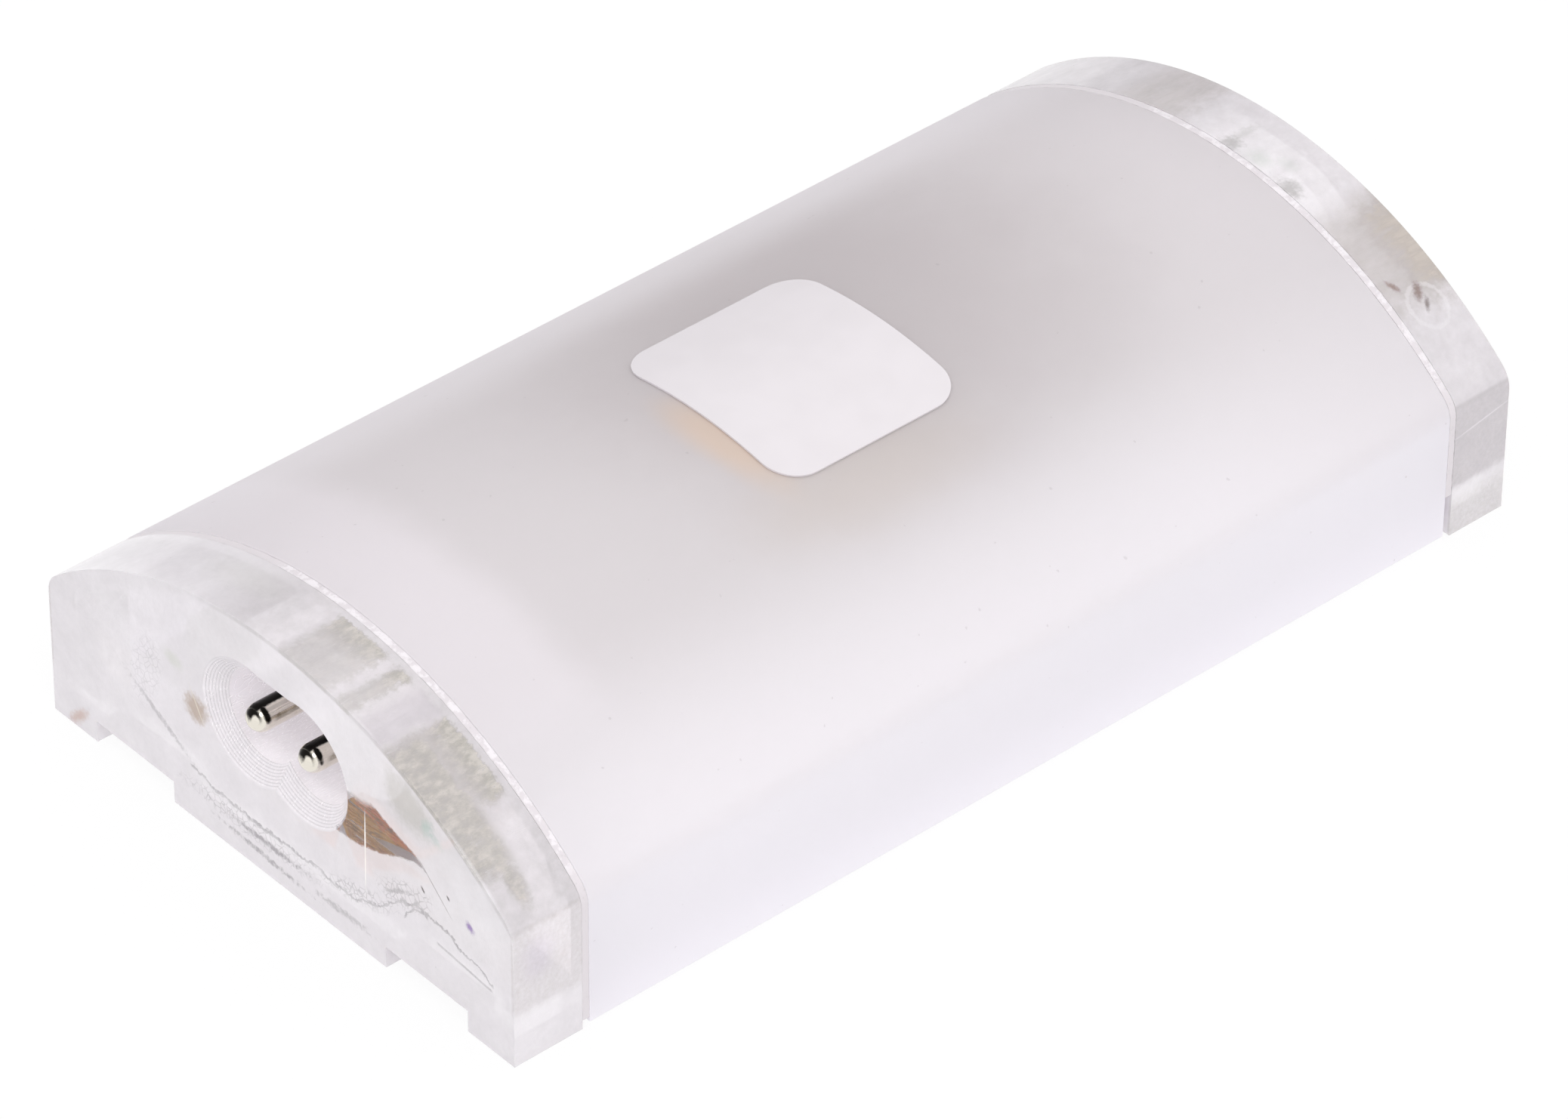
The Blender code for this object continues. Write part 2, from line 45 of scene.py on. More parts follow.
import bmesh
import bpy
from bpy.props import FloatProperty, FloatVectorProperty, PointerProperty
from mathutils import Matrix, Vector

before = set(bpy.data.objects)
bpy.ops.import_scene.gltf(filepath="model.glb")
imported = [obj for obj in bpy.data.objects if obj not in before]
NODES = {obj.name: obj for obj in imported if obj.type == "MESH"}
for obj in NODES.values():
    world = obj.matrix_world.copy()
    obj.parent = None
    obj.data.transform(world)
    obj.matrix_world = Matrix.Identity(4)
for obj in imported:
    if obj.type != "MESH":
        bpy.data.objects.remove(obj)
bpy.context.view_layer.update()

MM = 0.001
TURN = 2 * math.pi
LEFT_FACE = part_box("left_end_cap")[0].x
RIGHT_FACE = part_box("right_end_cap")[1].x
HALF_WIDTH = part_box("left_end_cap")[1].y
CROWN_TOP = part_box("left_end_cap")[1].z
COVER_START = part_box("cover_shell")[0].x
COVER_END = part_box("cover_shell")[1].x
BODY_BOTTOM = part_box("cover_shell")[0].z
SPIGOT_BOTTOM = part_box("base_plate")[1].z + 0.3 * MM
PIN_HEIGHT = (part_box("left_pin_front")[0].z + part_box("left_pin_front")[1].z) / 2
BOARD_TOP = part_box("circuit_board")[1].z

CROWN_STEPS = 96
SHOULDER_STEPS = 12
ROUND_STEPS = 96
PIN_STEPS = 64
NOSE_STEPS = 16
CORNER_STEPS = 12
SHEET_COLUMNS = 48
COVER_ROWS = 24
BEAD_ROWS = 4
BEAD_SIDE_STEPS = 24
STRANDS = 34
STRAND_STEPS = 26
STRAND_SIDES = 6
LEDS = 6

ACRYLIC_IOR = 1.49
# Painted light: strength of the glow painted into the bores.
BORE_GLOW = 0.30
# Painted light: strength of the glow painted onto bare copper.
COPPER_GLOW = 0.12
RING_SPACING = 0.11
COVER_THROUGH = 0.42


def rgb(red, green, blue):
    """Linear colour of an 8-bit display colour."""
    return tuple(((c / 255 + 0.055) / 1.055) ** 2.4 for c in (red, green, blue))


# Sizes and colours


def length_property(name, description, default):
    return FloatProperty(name=name, description=description, default=default, unit="LENGTH", subtype="DISTANCE")


def colour_property(name, description, default):
    return FloatVectorProperty(name=name, description=description, default=default, subtype="COLOR", size=3,
                               min=0.0, max=1.0)


class ModuleSizes(bpy.types.PropertyGroup):
    """Sizes of the module's outside and its plug."""
    side_height: length_property("Side height", "Height of the straight side wall", 7.6 * MM)
    shoulder: length_property("Shoulder radius", "Radius between side wall and crown", 1.7 * MM)
    wall: length_property("Cover wall", "Thickness of the frosted cover", 1.5 * MM)
    fit: length_property("Fit", "Gap between the spigot and the cover", 0.3 * MM)
    foot: length_property("Foot width", "Width of each foot", 3.5 * MM)
    pad: length_property("Pad width", "Width of the centre pad", 16.6 * MM)
    groove: length_property("Groove depth", "Depth of the two grooves below", 1.3 * MM)
    left_flange: length_property("Left flange", "Thickness of the left end cap outside the cover", 4.3 * MM)
    right_flange: length_property("Right flange", "Thickness of the right end cap outside the cover", 3.8 * MM)
    spigot: length_property("Spigot length", "Length of the cap inside the cover", 5.0 * MM)
    pin_pitch: length_property("Pin pitch", "Distance between the two pins", 4.1 * MM)
    pin_radius: length_property("Pin radius", "Radius of each pin", 0.775 * MM)
    pin_hole: length_property("Pin hole radius", "Radius of the hole that holds the pin", 0.925 * MM)
    mouth_radius: length_property("Mouth radius", "Radius of each countersunk mouth", 3.6 * MM)
    mouth_depth: length_property("Mouth depth", "Depth of the countersink", 0.9 * MM)
    bore_radius: length_property("Bore radius", "Radius of each bore", 2.6 * MM)
    bore_depth: length_property("Bore depth", "Depth of each bore", 7.2 * MM)
    label_length: length_property("Label length", "Length of the touch label", 12.0 * MM)
    label_width: length_property("Label width", "Width of the touch label", 13.2 * MM)
    label_corner: length_property("Label corner", "Corner radius of the touch label", 2.0 * MM)
    strand: length_property("Strand radius", "Radius of one copper strand", 0.07 * MM)


class ModuleColours(bpy.types.PropertyGroup):
    """Colours of the module's finishes."""
    cover: colour_property("Cover", "Frosted cover over the crown", rgb(233, 229, 231))
    # Painted light: the cover is paler over the left spigot and towards the right end.
    cover_lit_band: colour_property("Cover over the left spigot", "Frosted cover where it is backed", rgb(242, 238, 241))
    # Painted shade: the cover is darkest round the label.
    cover_shade: colour_property("Cover round the label", "Darkest part of the crown", rgb(219, 213, 215))
    # Painted light: the cover is paler near the side walls and on them.
    cover_lit_edge: colour_property("Cover edges", "Frosted cover near the side walls", rgb(246, 243, 246))
    cover_lit_side: colour_property("Cover side", "Frosted cover on the side walls", rgb(250, 248, 252))
    acrylic: colour_property("Acrylic", "Tint of the clear end caps", (0.985, 0.975, 0.985))
    haze: colour_property("Haze", "Milky haze of worked acrylic", rgb(246, 242, 246))
    # Painted shade on the end caps where the module's shadowed inside shows through.
    cap_shade: colour_property("Grime", "Grey smears on the end caps", rgb(184, 175, 168))
    nickel: colour_property("Pin plate", "Bright plate of the pins", (0.80, 0.76, 0.68))
    copper: colour_property("Copper", "Bare copper strands", (0.66, 0.20, 0.03))
    label: colour_property("Label", "White touch label", (0.67, 0.635, 0.66))
    base: colour_property("Base", "White base plate", rgb(240, 237, 240))


# Finishes


def arithmetic(operation):
    """An operator on wires and its reflected form, each of which adds a Math node."""
    return (lambda self, other: self.finish.maths(operation, self, other),
            lambda self, other: self.finish.maths(operation, other, self))


class Wire:
    """A node's output that takes part in sums as a number does."""

    def __init__(self, finish, socket):
        self.finish = finish
        self.socket = socket

    __add__, __radd__ = arithmetic("ADD")
    __sub__, __rsub__ = arithmetic("SUBTRACT")
    __mul__, __rmul__ = arithmetic("MULTIPLY")
    __truediv__, __rtruediv__ = arithmetic("DIVIDE")

    def __abs__(self):
        return self.finish.maths("ABSOLUTE", self)


class Finish:
    """A material under construction. Its place is the position on the piece in millimetres."""

    def __init__(self, name):
        self.material = bpy.data.materials.new(name)
        self.material.use_nodes = True
        self.tree = self.material.node_tree
        self.tree.nodes.clear()
        self.place = self.node("ShaderNodeVectorMath", {"operation": "SCALE"},
                               {"Vector": self.node("ShaderNodeTexCoord", out="Object"), "Scale": 1 / MM})

    def node(self, kind, settings=None, values=None, out=0):
        """Add a node: settings first, then the values or links of its sockets. Returns one output."""
        made = self.tree.nodes.new(kind)
        for key, value in (settings or {}).items():
            if key == "course":
                self.set_course(made.mapping, value)
            else:
                setattr(made, key, value)
        for key, value in (values or {}).items():
            self.feed(made.inputs[key], value)
        return Wire(self, made.outputs[out])

    def set_course(self, mapping, points):
        """Straight stretches between (position, value) points, both from 0 to 1."""
        course = mapping.curves[0]
        while len(course.points) < len(points):
            course.points.new(0.5, 0.5)
        for point, place in zip(course.points, points):
            point.location = place
            point.handle_type = "VECTOR"
        mapping.update()

    def feed(self, socket, value):
        if isinstance(value, Wire):
            self.tree.links.new(value.socket, socket)
        elif socket.type == "RGBA" and len(value) == 3:
            socket.default_value = (*value, 1.0)
        else:
            socket.default_value = value

    def maths(self, operation, first, second=0.0, clamp=False):
        return self.node("ShaderNodeMath", {"operation": operation, "use_clamp": clamp}, {0: first, 1: second})

    def axes(self):
        split = self.node("ShaderNodeSeparateXYZ", None, {"Vector": self.place})
        return [Wire(self, output) for output in split.socket.node.outputs]

    def stretched(self, scale, turn=(0, 0, 0), shift=(0, 0, 0)):
        """The position with its axes stretched and turned, for grain and scratches."""
        return self.node("ShaderNodeMapping", {"vector_type": "POINT"},
                         {"Vector": self.place, "Scale": scale, "Rotation": turn, "Location": shift})

    def noise(self, scale, detail=2.0, rough=0.5, at=None):
        return self.node("ShaderNodeTexNoise", {"noise_dimensions": "3D"},
                         {"Vector": at or self.place, "Scale": scale, "Detail": detail, "Roughness": rough})

    def cells(self, scale, feature):
        return self.node("ShaderNodeTexVoronoi", {"feature": feature}, {"Vector": self.place, "Scale": scale},
                         out="Distance")

    def step(self, value, low, high):
        """0 below low, 1 above high and smooth between; 1 to 0 when low is above high."""
        first, last = (0.0, 1.0) if low < high else (1.0, 0.0)
        return self.node("ShaderNodeMapRange", {"interpolation_type": "SMOOTHSTEP", "clamp": True},
                         {"Value": value, "From Min": min(low, high), "From Max": max(low, high),
                          "To Min": first, "To Max": last})

    def between(self, value, low, high, soft):
        """1 between low and high, with soft edges."""
        return self.step(value, low - soft, low + soft) * self.step(value, high + soft, high - soft)

    def most(self, masks):
        """The largest of the masks."""
        result, *others = masks
        for mask in others:
            result = self.maths("MAXIMUM", result, mask)
        return result

    def mix(self, share, first, second):
        """Mix of two colours."""
        return self.node("ShaderNodeMix", {"data_type": "RGBA", "clamp_factor": True},
                         {0: share, 6: first, 7: second}, out=2)

    def dips(self, height, depth):
        """Normal from a height, depth in metres for a height of 1."""
        return self.node("ShaderNodeBump", None, {"Height": height, "Distance": depth, "Strength": 1.0})

    def shader(self, **values):
        return self.node("ShaderNodeBsdfPrincipled", None, {
            key.replace("_", " ").title().replace("Ior", "IOR"): value for key, value in values.items()
        })

    def blend(self, share, first, second):
        return self.node("ShaderNodeMixShader", None, {0: share, 1: first, 2: second})

    def done(self, surface):
        output = self.tree.nodes.new("ShaderNodeOutputMaterial")
        self.feed(output.inputs["Surface"], surface)
        return self.material


def scratches(f, spacing, length_scale, turn, seed, width):
    """Thin lines where a stretched noise crosses its middle: 1 on a scratch."""
    at = f.stretched((1.0, length_scale, 1.0), (0, 0, turn), (seed, seed * 0.7, seed * 0.3))
    return f.step(abs(f.noise(spacing, 1.0, 0.4, at) - 0.5), width, 0.0)


def blotch(f, across, along, centre, reach, turn=0.0, soft=0.3, ragged=None):
    """1 inside an ellipse with a soft edge, in two of the piece's coordinates."""
    first = across - centre[0]
    second = along - centre[1]
    if turn:
        cosine, sine = math.cos(turn), math.sin(turn)
        first, second = first * cosine + second * sine, second * cosine - first * sine
    first = first / reach[0]
    second = second / reach[1]
    distance = f.maths("SQRT", first * first + second * second)
    if ragged:
        distance = distance + ragged
    return f.step(distance, 1.0 + soft, 1.0 - soft)


def spot(f, across, along, fray, shape):
    """Mask of one stain from its centre, reach, turn, softness, share of fray and strength."""
    centre, reach, turn, soft, ragged, strength = shape
    return blotch(f, across, along, centre, reach, turn, soft, fray * ragged if ragged else None) * strength


def course_height(f, across, points):
    """Height of a line through (across, height) points in millimetres, left to right."""
    first, last = points[0][0], points[-1][0]
    reach = 20.0
    share = (across - first) * (1 / (last - first))
    course = [((one - first) / (last - first), two / reach) for one, two in points]
    return f.node("ShaderNodeFloatCurve", {"course": course}, {"Value": share}) * reach


def traced(f, across, along, points, width, ragged):
    """1 along a line through (across, along) points in millimetres that wanders with ragged."""
    away = abs(along + ragged - course_height(f, across, points))
    return f.step(away, width, width * 0.35) * f.between(across, points[0][0], points[-1][0], 0.1)


# Mesh building


def arc(centre_y, centre_z, radius, start, end, steps):
    points = []
    for step in range(steps + 1):
        angle = start + (end - start) * step / steps
        points.append((centre_y + radius * math.cos(angle), centre_z + radius * math.sin(angle)))
    return points


def dome_radius(sizes):
    centre = HALF_WIDTH - sizes.shoulder
    rise = sizes.side_height - CROWN_TOP
    return (sizes.shoulder ** 2 - centre ** 2 - rise ** 2) / (2 * rise + 2 * sizes.shoulder)


def shell_arc(sizes, inset):
    """The D outline from the right wall over the crown to the left wall, set in by inset."""
    radius = dome_radius(sizes)
    centre_z = CROWN_TOP - radius
    shoulder = sizes.shoulder - inset
    shoulder_y = HALF_WIDTH - sizes.shoulder
    if shoulder > 0:
        join = math.atan2(sizes.side_height - centre_z, shoulder_y)
        right = arc(shoulder_y, sizes.side_height, shoulder, 0, join, SHOULDER_STEPS)
        crown = arc(0, centre_z, radius - inset, join, math.pi - join, CROWN_STEPS)
        left = arc(-shoulder_y, sizes.side_height, shoulder, math.pi - join, math.pi, SHOULDER_STEPS)
        return right + crown[1:-1] + left
    join = math.acos((HALF_WIDTH - inset) / (radius - inset))
    return arc(0, centre_z, radius - inset, join, math.pi - join, CROWN_STEPS)


def underside(sizes, half_width, foot, bottom):
    """Feet, grooves and centre pad from the left edge to the right one."""
    inner = half_width - foot
    pad = sizes.pad / 2
    return [
        (-half_width, bottom), (-inner, bottom), (-inner, sizes.groove), (-pad, sizes.groove), (-pad, bottom),
        (pad, bottom), (pad, sizes.groove), (inner, sizes.groove), (inner, bottom), (half_width, bottom),
    ]


def skin(builder, rings, ends=True):
    """Join neighbouring rings with faces and close both ends."""
    for first, second in zip(rings, rings[1:]):
        for index in range(len(first)):
            after = (index + 1) % len(first)
            builder.faces.new((first[index], first[after], second[after], second[index]))
    if ends:
        builder.faces.new(rings[0])
        builder.faces.new(rings[-1])


def extrude_outline(points, start, end, rows=1):
    """Solid with the (y, z) outline between two places on X."""
    builder = bmesh.new()
    rings = []
    for row in range(rows + 1):
        x = start + (end - start) * row / rows
        rings.append([builder.verts.new((x, y, z)) for y, z in points])
    skin(builder, rings)
    return builder


def turned(profile, steps):
    """Solid turned about the X axis from (x, radius) points whose first and last lie on the axis."""
    builder = bmesh.new()
    first_tip = builder.verts.new((profile[0][0], 0, 0))
    last_tip = builder.verts.new((profile[-1][0], 0, 0))
    angles = [TURN * step / steps for step in range(steps)]
    rings = [[builder.verts.new((x, radius * math.cos(angle), radius * math.sin(angle))) for angle in angles]
             for x, radius in profile[1:-1]]
    skin(builder, rings, ends=False)
    for step in range(steps):
        after = (step + 1) % steps
        builder.faces.new((rings[0][step], rings[0][after], first_tip))
        builder.faces.new((rings[-1][after], rings[-1][step], last_tip))
    return builder


def block(low, high):
    builder = bmesh.new()
    bmesh.ops.create_cube(builder, size=1.0)
    bmesh.ops.scale(builder, vec=Vector(high) - Vector(low), verts=builder.verts)
    bmesh.ops.translate(builder, vec=(Vector(high) + Vector(low)) / 2, verts=builder.verts)
    return builder


def tube(builder, points, radius, sides):
    """Add a closed tube through the points to builder."""
    rings = []
    side_way = None
    for index, point in enumerate(points):
        before = points[max(index - 1, 0)]
        after = points[min(index + 1, len(points) - 1)]
        forward = (after - before).normalized()
        if side_way is None:
            side_way = forward.orthogonal().normalized()
        side_way = (side_way - forward * side_way.dot(forward)).normalized()
        up_way = forward.cross(side_way)
        ring = []
        for side in range(sides):
            angle = TURN * side / sides
            offset = side_way * math.cos(angle) + up_way * math.sin(angle)
            ring.append(builder.verts.new(point + offset * radius))
        rings.append(ring)
    skin(builder, rings)


def new_piece(name, builder, material=None):
    """Mesh object from a builder, smooth, with its normals outward."""
    bmesh.ops.recalc_face_normals(builder, faces=builder.faces)
    mesh = bpy.data.meshes.new(name)
    builder.to_mesh(mesh)
    builder.free()
    mesh.shade_smooth()
    if material:
        mesh.materials.append(material)
    piece = bpy.data.objects.new(name, mesh)
    bpy.context.scene.collection.objects.link(piece)
    return piece


def soften(piece, width, segments=2, angle=30):
    """Round the piece's sharp edges."""
    step = piece.modifiers.new("soften", "BEVEL")
    step.width = width
    step.segments = segments
    step.limit_method = "ANGLE"
    step.angle_limit = math.radians(angle)
    step.harden_normals = True
    step.use_clamp_overlap = True


def settle(piece, slot, *nodes):
    """The piece rides on the module's one body and stands for these nodes."""
    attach(piece, "root")
    if nodes:
        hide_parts(*nodes)


def dress(node, material, edge=0.0):
    """Give a carried-over node its finish and rounded edges."""
    thing = NODES[node]
    thing.data.materials.clear()
    thing.data.materials.append(material)
    if edge:
        weld = thing.modifiers.new("weld", "WELD")
        weld.merge_threshold = 1e-6
        soften(thing, edge)


# Ends


def end_matrix(side):
    """From an end's own frame to the module's."""
    if side == "left":
        return Matrix.Translation((LEFT_FACE, 0, 0))
    return Matrix.Translation((RIGHT_FACE, 0, 0)) @ Matrix.Rotation(math.pi, 4, "Z")


def flange_of(sizes, side):
    return sizes.left_flange if side == "left" else sizes.right_flange


def bore_profile(sizes):
    out = 0.5 * MM
    through = 30 * MM
    flare = (sizes.mouth_radius - sizes.bore_radius) / sizes.mouth_depth
    return [
        (-out, 0), (-out, sizes.mouth_radius + out * flare), (sizes.mouth_depth, sizes.bore_radius),
        (sizes.bore_depth, sizes.bore_radius), (sizes.bore_depth, sizes.pin_hole), (through, sizes.pin_hole),
        (through, 0),
    ]


def cap_builder(sizes, side):
    """The end cap cut by its bores, in its own frame, as an evaluated mesh."""
    flange = flange_of(sizes, side)
    body = extrude_outline(underside(sizes, HALF_WIDTH, sizes.foot, 0) + shell_arc(sizes, 0), 0, flange)
    cap = new_piece("cap_work", body)
    inset = sizes.wall + sizes.fit
    spigot_side = HALF_WIDTH - inset
    outline = [(-spigot_side, SPIGOT_BOTTOM), (spigot_side, SPIGOT_BOTTOM)] + shell_arc(sizes, inset)
    tools = [("UNION", new_piece("spigot_work", extrude_outline(outline, flange / 2, flange + sizes.spigot)))]
    for row in (-1, 1):
        bore = turned(bore_profile(sizes), ROUND_STEPS)
        bmesh.ops.translate(bore, vec=(0, row * sizes.pin_pitch / 2, PIN_HEIGHT), verts=bore.verts)
        tools.append(("DIFFERENCE", new_piece("bore_work", bore)))
    top = PIN_HEIGHT + sizes.mouth_radius - 0.1 * MM
    bridge = block((-0.5 * MM, -sizes.pin_pitch / 2, PIN_HEIGHT), (sizes.bore_depth, sizes.pin_pitch / 2, top))
    tools.append(("DIFFERENCE", new_piece("bridge_work", bridge)))
    for operation, tool in tools:
        step = cap.modifiers.new("cut", "BOOLEAN")
        step.operation = operation
        step.solver = "EXACT"
        step.object = tool
    bpy.context.view_layer.update()
    evaluated = cap.evaluated_get(bpy.context.evaluated_depsgraph_get())
    builder = bmesh.new()
    builder.from_mesh(evaluated.to_mesh())
    evaluated.to_mesh_clear()
    for thing in [cap] + [tool for _, tool in tools]:
        bpy.data.objects.remove(thing, do_unlink=True)
    bmesh.ops.remove_doubles(builder, verts=builder.verts, dist=2e-6)
    bmesh.ops.dissolve_limit(builder, angle_limit=math.radians(0.2), verts=builder.verts, edges=builder.edges)
    return builder


# Stains on the caps: centre, reach, turn, softness, raggedness, strength and, where they differ, colour. Places are
# in millimetres: across the module and up its end, or across it and in from its end on the top.
LEFT_FACE_STREAKS = (
    ((0.6, 2.05), (2.4, 0.16), 0.0, 0.6, 2.4, 0.8),
    ((1.2, 1.1), (2.6, 0.16), 0.05, 0.6, 2.6, 0.7),
    ((-5.0, 1.4), (1.6, 0.2), 0.0, 0.6, 2.6, 0.5),
    ((9.2, 5.0), (2.2, 0.16), 0.5, 0.6, 2.6, 0.5),
    ((-9.4, 5.6), (0.9, 0.14), -0.5, 0.5, 2.2, 0.6),
)
LEFT_FACE_FROTH = (
    ((-9.9, 5.7), (2.0, 0.75), -0.35, 0.4, 1.0, 1.0),
    ((-6.2, 3.4), (2.6, 0.55), -0.25, 0.5, 1.0, 1.0),
    ((2.0, 2.2), (4.6, 0.55), 0.0, 0.5, 1.0, 1.0),
    ((10.2, 7.4), (1.0, 2.2), 0.3, 0.5, 1.0, 0.6),
)
LEFT_FACE_STAINS = (
    ((16.0, 0.75), (0.85, 0.28), -0.75, 0.8, 1.6, 0.6, rgb(196, 146, 118)),
    ((6.2, 7.3), (0.8, 0.75), 0.4, 0.5, 1.2, 0.75, rgb(168, 136, 96)),
    ((6.1, 7.5), (0.05, 1.0), -0.5, 0.5, 0.0, 0.8, rgb(236, 226, 206)),
    ((7.9, 9.4), (0.6, 0.4), 0.2, 0.8, 1.0, 0.3, rgb(190, 204, 170)),
    ((-11.7, 11.0), (0.35, 0.5), 0.5, 0.8, 2.0, 0.35, rgb(150, 206, 194)),
    ((-12.4, 10.6), (0.4, 0.3), 0.3, 0.8, 2.0, 0.25, rgb(150, 206, 194)),
    ((-14.8, 6.8), (0.30, 0.2), 0.6, 0.8, 1.8, 0.9, rgb(120, 70, 170)),
    ((-13.2, 7.6), (0.15, 0.07), 0.9, 0.5, 1.0, 1.0, rgb(96, 88, 92)),
    ((-11.3, 6.9), (0.20, 0.07), 0.9, 0.5, 1.0, 1.0, rgb(90, 82, 80)),
    ((-12.2, 7.6), (1.5, 0.04), 0.75, 0.6, 1.0, 0.6, rgb(120, 112, 108)),
    ((-6.9, 6.4), (0.055, 2.6), 0.02, 0.3, 0.0, 1.0, (0.96, 0.94, 0.92)),
)
RIGHT_TOP_STAINS = (
    ((-0.5, 3.5), (0.5, 0.5), 0.0, 0.9, 2.2, 0.6, rgb(140, 138, 134)),
    ((-0.3, 2.4), (0.3, 0.9), 0.0, 0.9, 2.2, 0.35, rgb(160, 158, 154)),
    ((-4.9, 3.5), (0.6, 0.5), 0.0, 0.9, 2.2, 0.7, rgb(136, 134, 128)),
    ((-2.4, 3.2), (0.7, 0.5), 0.0, 0.9, 1.6, 0.4, rgb(186, 198, 186)),
    ((-3.6, 2.3), (0.5, 0.4), 0.0, 0.9, 1.6, 0.3, rgb(186, 198, 186)),
    ((-12.9, 1.9), (0.42, 0.2), -0.6, 0.8, 1.9, 0.85, rgb(122, 92, 78)),
    ((-13.6, 1.9), (0.3, 0.12), -0.6, 0.8, 1.9, 0.8, rgb(112, 96, 90)),
    ((-12.2, 3.0), (0.34, 0.14), 0.5, 0.8, 1.9, 0.8, rgb(128, 92, 76)),
)
# Edges of the cement seen through the left face: (across, up) points, width and shares of slow and quick wander.
CEMENT_EDGES = (
    (((-11.6, 5.3), (-11.0, 5.6), (-9.5, 5.0), (-8.0, 3.8), (-6.0, 2.9), (-3.0, 3.0), (4.3, 2.9), (6.8, 3.3)),
     0.14, 0.7, 0.3),
    (((-16.5, 4.1), (-15.5, 4.7), (-14.0, 4.9), (-13.3, 5.4), (-11.7, 5.5), (-10.5, 5.2), (-9.8, 4.3)),
     0.13, 0.5, 0.4),
    (((-16.4, 3.8), (-12.3, 4.2)), 0.11, 0.0, 0.1),
)
# Upper and lower edge of the clear patch that shows the copper: (across, up) points.
WINDOW_ROOF = ((-11.6, 8.2), (-10.8, 8.75), (-8.9, 9.35), (-7.4, 9.95), (-4.6, 9.4))
WINDOW_SILL = ((-11.6, 8.15), (-10.8, 8.3), (-9.6, 7.85), (-8.0, 7.1), (-6.2, 6.6), (-4.6, 6.5))


def left_stains_and_shade(f, y, z, depth, on_top, on_face, on_side):
    """Smeared and stained marks of the left cap, and painted shade on its top and upper side where the module's
    shadowed inside shows through, as (mask, colour) pairs, and where the acrylic is clearest.
    """
    wander = f.noise(1.3, 4.0, 0.65) - 0.5
    fray = f.noise(4.0, 3.0, 0.6) - 0.5
    curl = f.noise(1.0, 3.0, 0.7) - 0.5
    worn = y + wander * 1.1 + fray * 0.7
    reach = f.step(depth + fray * 0.7, 4.0, 3.75)
    towards_joint = f.step(depth + wander, 1.6, 3.9)
    streaks = f.noise(1.7, 5.0, 0.68, f.stretched((0.65, 1.2, 1.0)))
    # Painted shade: bands across the top where the module's shadowed inside shows through, crossed by real scratches.
    shade_bars = f.most((
        f.between(worn, -4.3, -0.7, 0.3) * (0.42 + towards_joint * 0.52),
        f.between(worn, -6.0, -5.0, 0.25) * (0.50 + towards_joint * 0.48),
        f.between(worn, -13.0, -8.6, 0.3) * (0.50 + towards_joint * 0.55) * f.step(depth, 0.2, 1.4),
        f.between(worn, -15.8, -8.6, 0.6) * f.step(depth + wander, 2.6, 1.8) * 0.85,
        blotch(f, y, depth, (-16.2, 1.6), (1.1, 0.5), 0.0, 0.5, fray) * 0.8,
    ))
    hairs = scratches(f, 0.45, 14.0, 1.1, 21.0, 0.008)
    top_shade = on_top * reach * shade_bars * (0.55 + streaks * 1.15) * (1 - hairs * 0.7)
    olive = on_top * blotch(f, y, depth, (5.2, 2.7), (2.6, 1.0), 0.0, 0.7, wander) * 0.14
    # Painted shade on the side above the base plate's top.
    side_shade = on_side * f.step(z + wander, 2.6, 3.6) * (0.22 + fray * 0.6)
    cement_edge = f.most([traced(f, y, z, points, width, curl * slow + fray * quick)
                          for points, width, slow, quick in CEMENT_EDGES])
    froth = f.most([spot(f, y, z, fray, shape) for shape in LEFT_FACE_FROTH])
    froth = f.step(f.cells(2.6, "DISTANCE_TO_EDGE"), 0.10, 0.02) * froth
    face_grey = on_face * f.most([
        *(spot(f, y, z, fray, shape) for shape in LEFT_FACE_STREAKS), cement_edge * (0.65 + curl * 1.1), froth * 0.5,
    ])
    tent = blotch(f, y, z, (-10.1, 11.6), (2.1, 1.15), 0.45, 0.45, fray * 0.8) * f.step(y, -8.2, -8.9)
    haze_white = on_face * blotch(f, y, z, (-6.3, 12.0), (2.45, 2.5), 0.0, 0.12, fray * 0.1)
    stains_and_shade = [
        # Painted shade: the veil over the front of the top, the bands across it, the paler stripe between two of them
        # and the side's upper part.
        (on_top * f.step(y, 7.0, 1.0) * (0.62 + wander * 0.9), rgb(203, 198, 200)),
        (top_shade, f.mix(f.step(streaks, 0.36, 0.66), rgb(168, 164, 157), rgb(194, 188, 183))),
        (on_top * reach * f.between(worn, -8.3, -6.6, 0.3) * 0.6, rgb(205, 198, 204)),
        (olive, rgb(196, 200, 180)),
        (side_shade, None),
        (on_face * tent * 0.5, rgb(192, 191, 180)),
        (haze_white * 0.4, (0.90, 0.88, 0.90)),
        (on_face * blotch(f, y, z, (-14.2, 8.0), (3.0, 3.2), 0.0, 0.5, wander) * 0.5, (0.99, 0.97, 1.0)),
        (face_grey, f.mix(f.step(fray, -0.1, 0.15), rgb(138, 134, 138), rgb(196, 192, 196))),
        *((on_face * spot(f, y, z, fray, shape), colour) for *shape, colour in LEFT_FACE_STAINS),
        (on_side * blotch(f, depth, z, (1.6, 6.2), (0.8, 1.2), 0.0, 0.8, wander) * 0.2, rgb(206, 190, 226)),
    ]
    roof = course_height(f, y, WINDOW_ROOF)
    sill = course_height(f, y, WINDOW_SILL)
    window = f.step(roof - z + fray * 0.3, -0.06, 0.12) * f.step(z - sill + fray * 0.3, -0.06, 0.12)
    window = window * f.between(y, WINDOW_ROOF[0][0], WINDOW_ROOF[-1][0], 0.1)
    return stains_and_shade, on_face * window * (1 - haze_white)


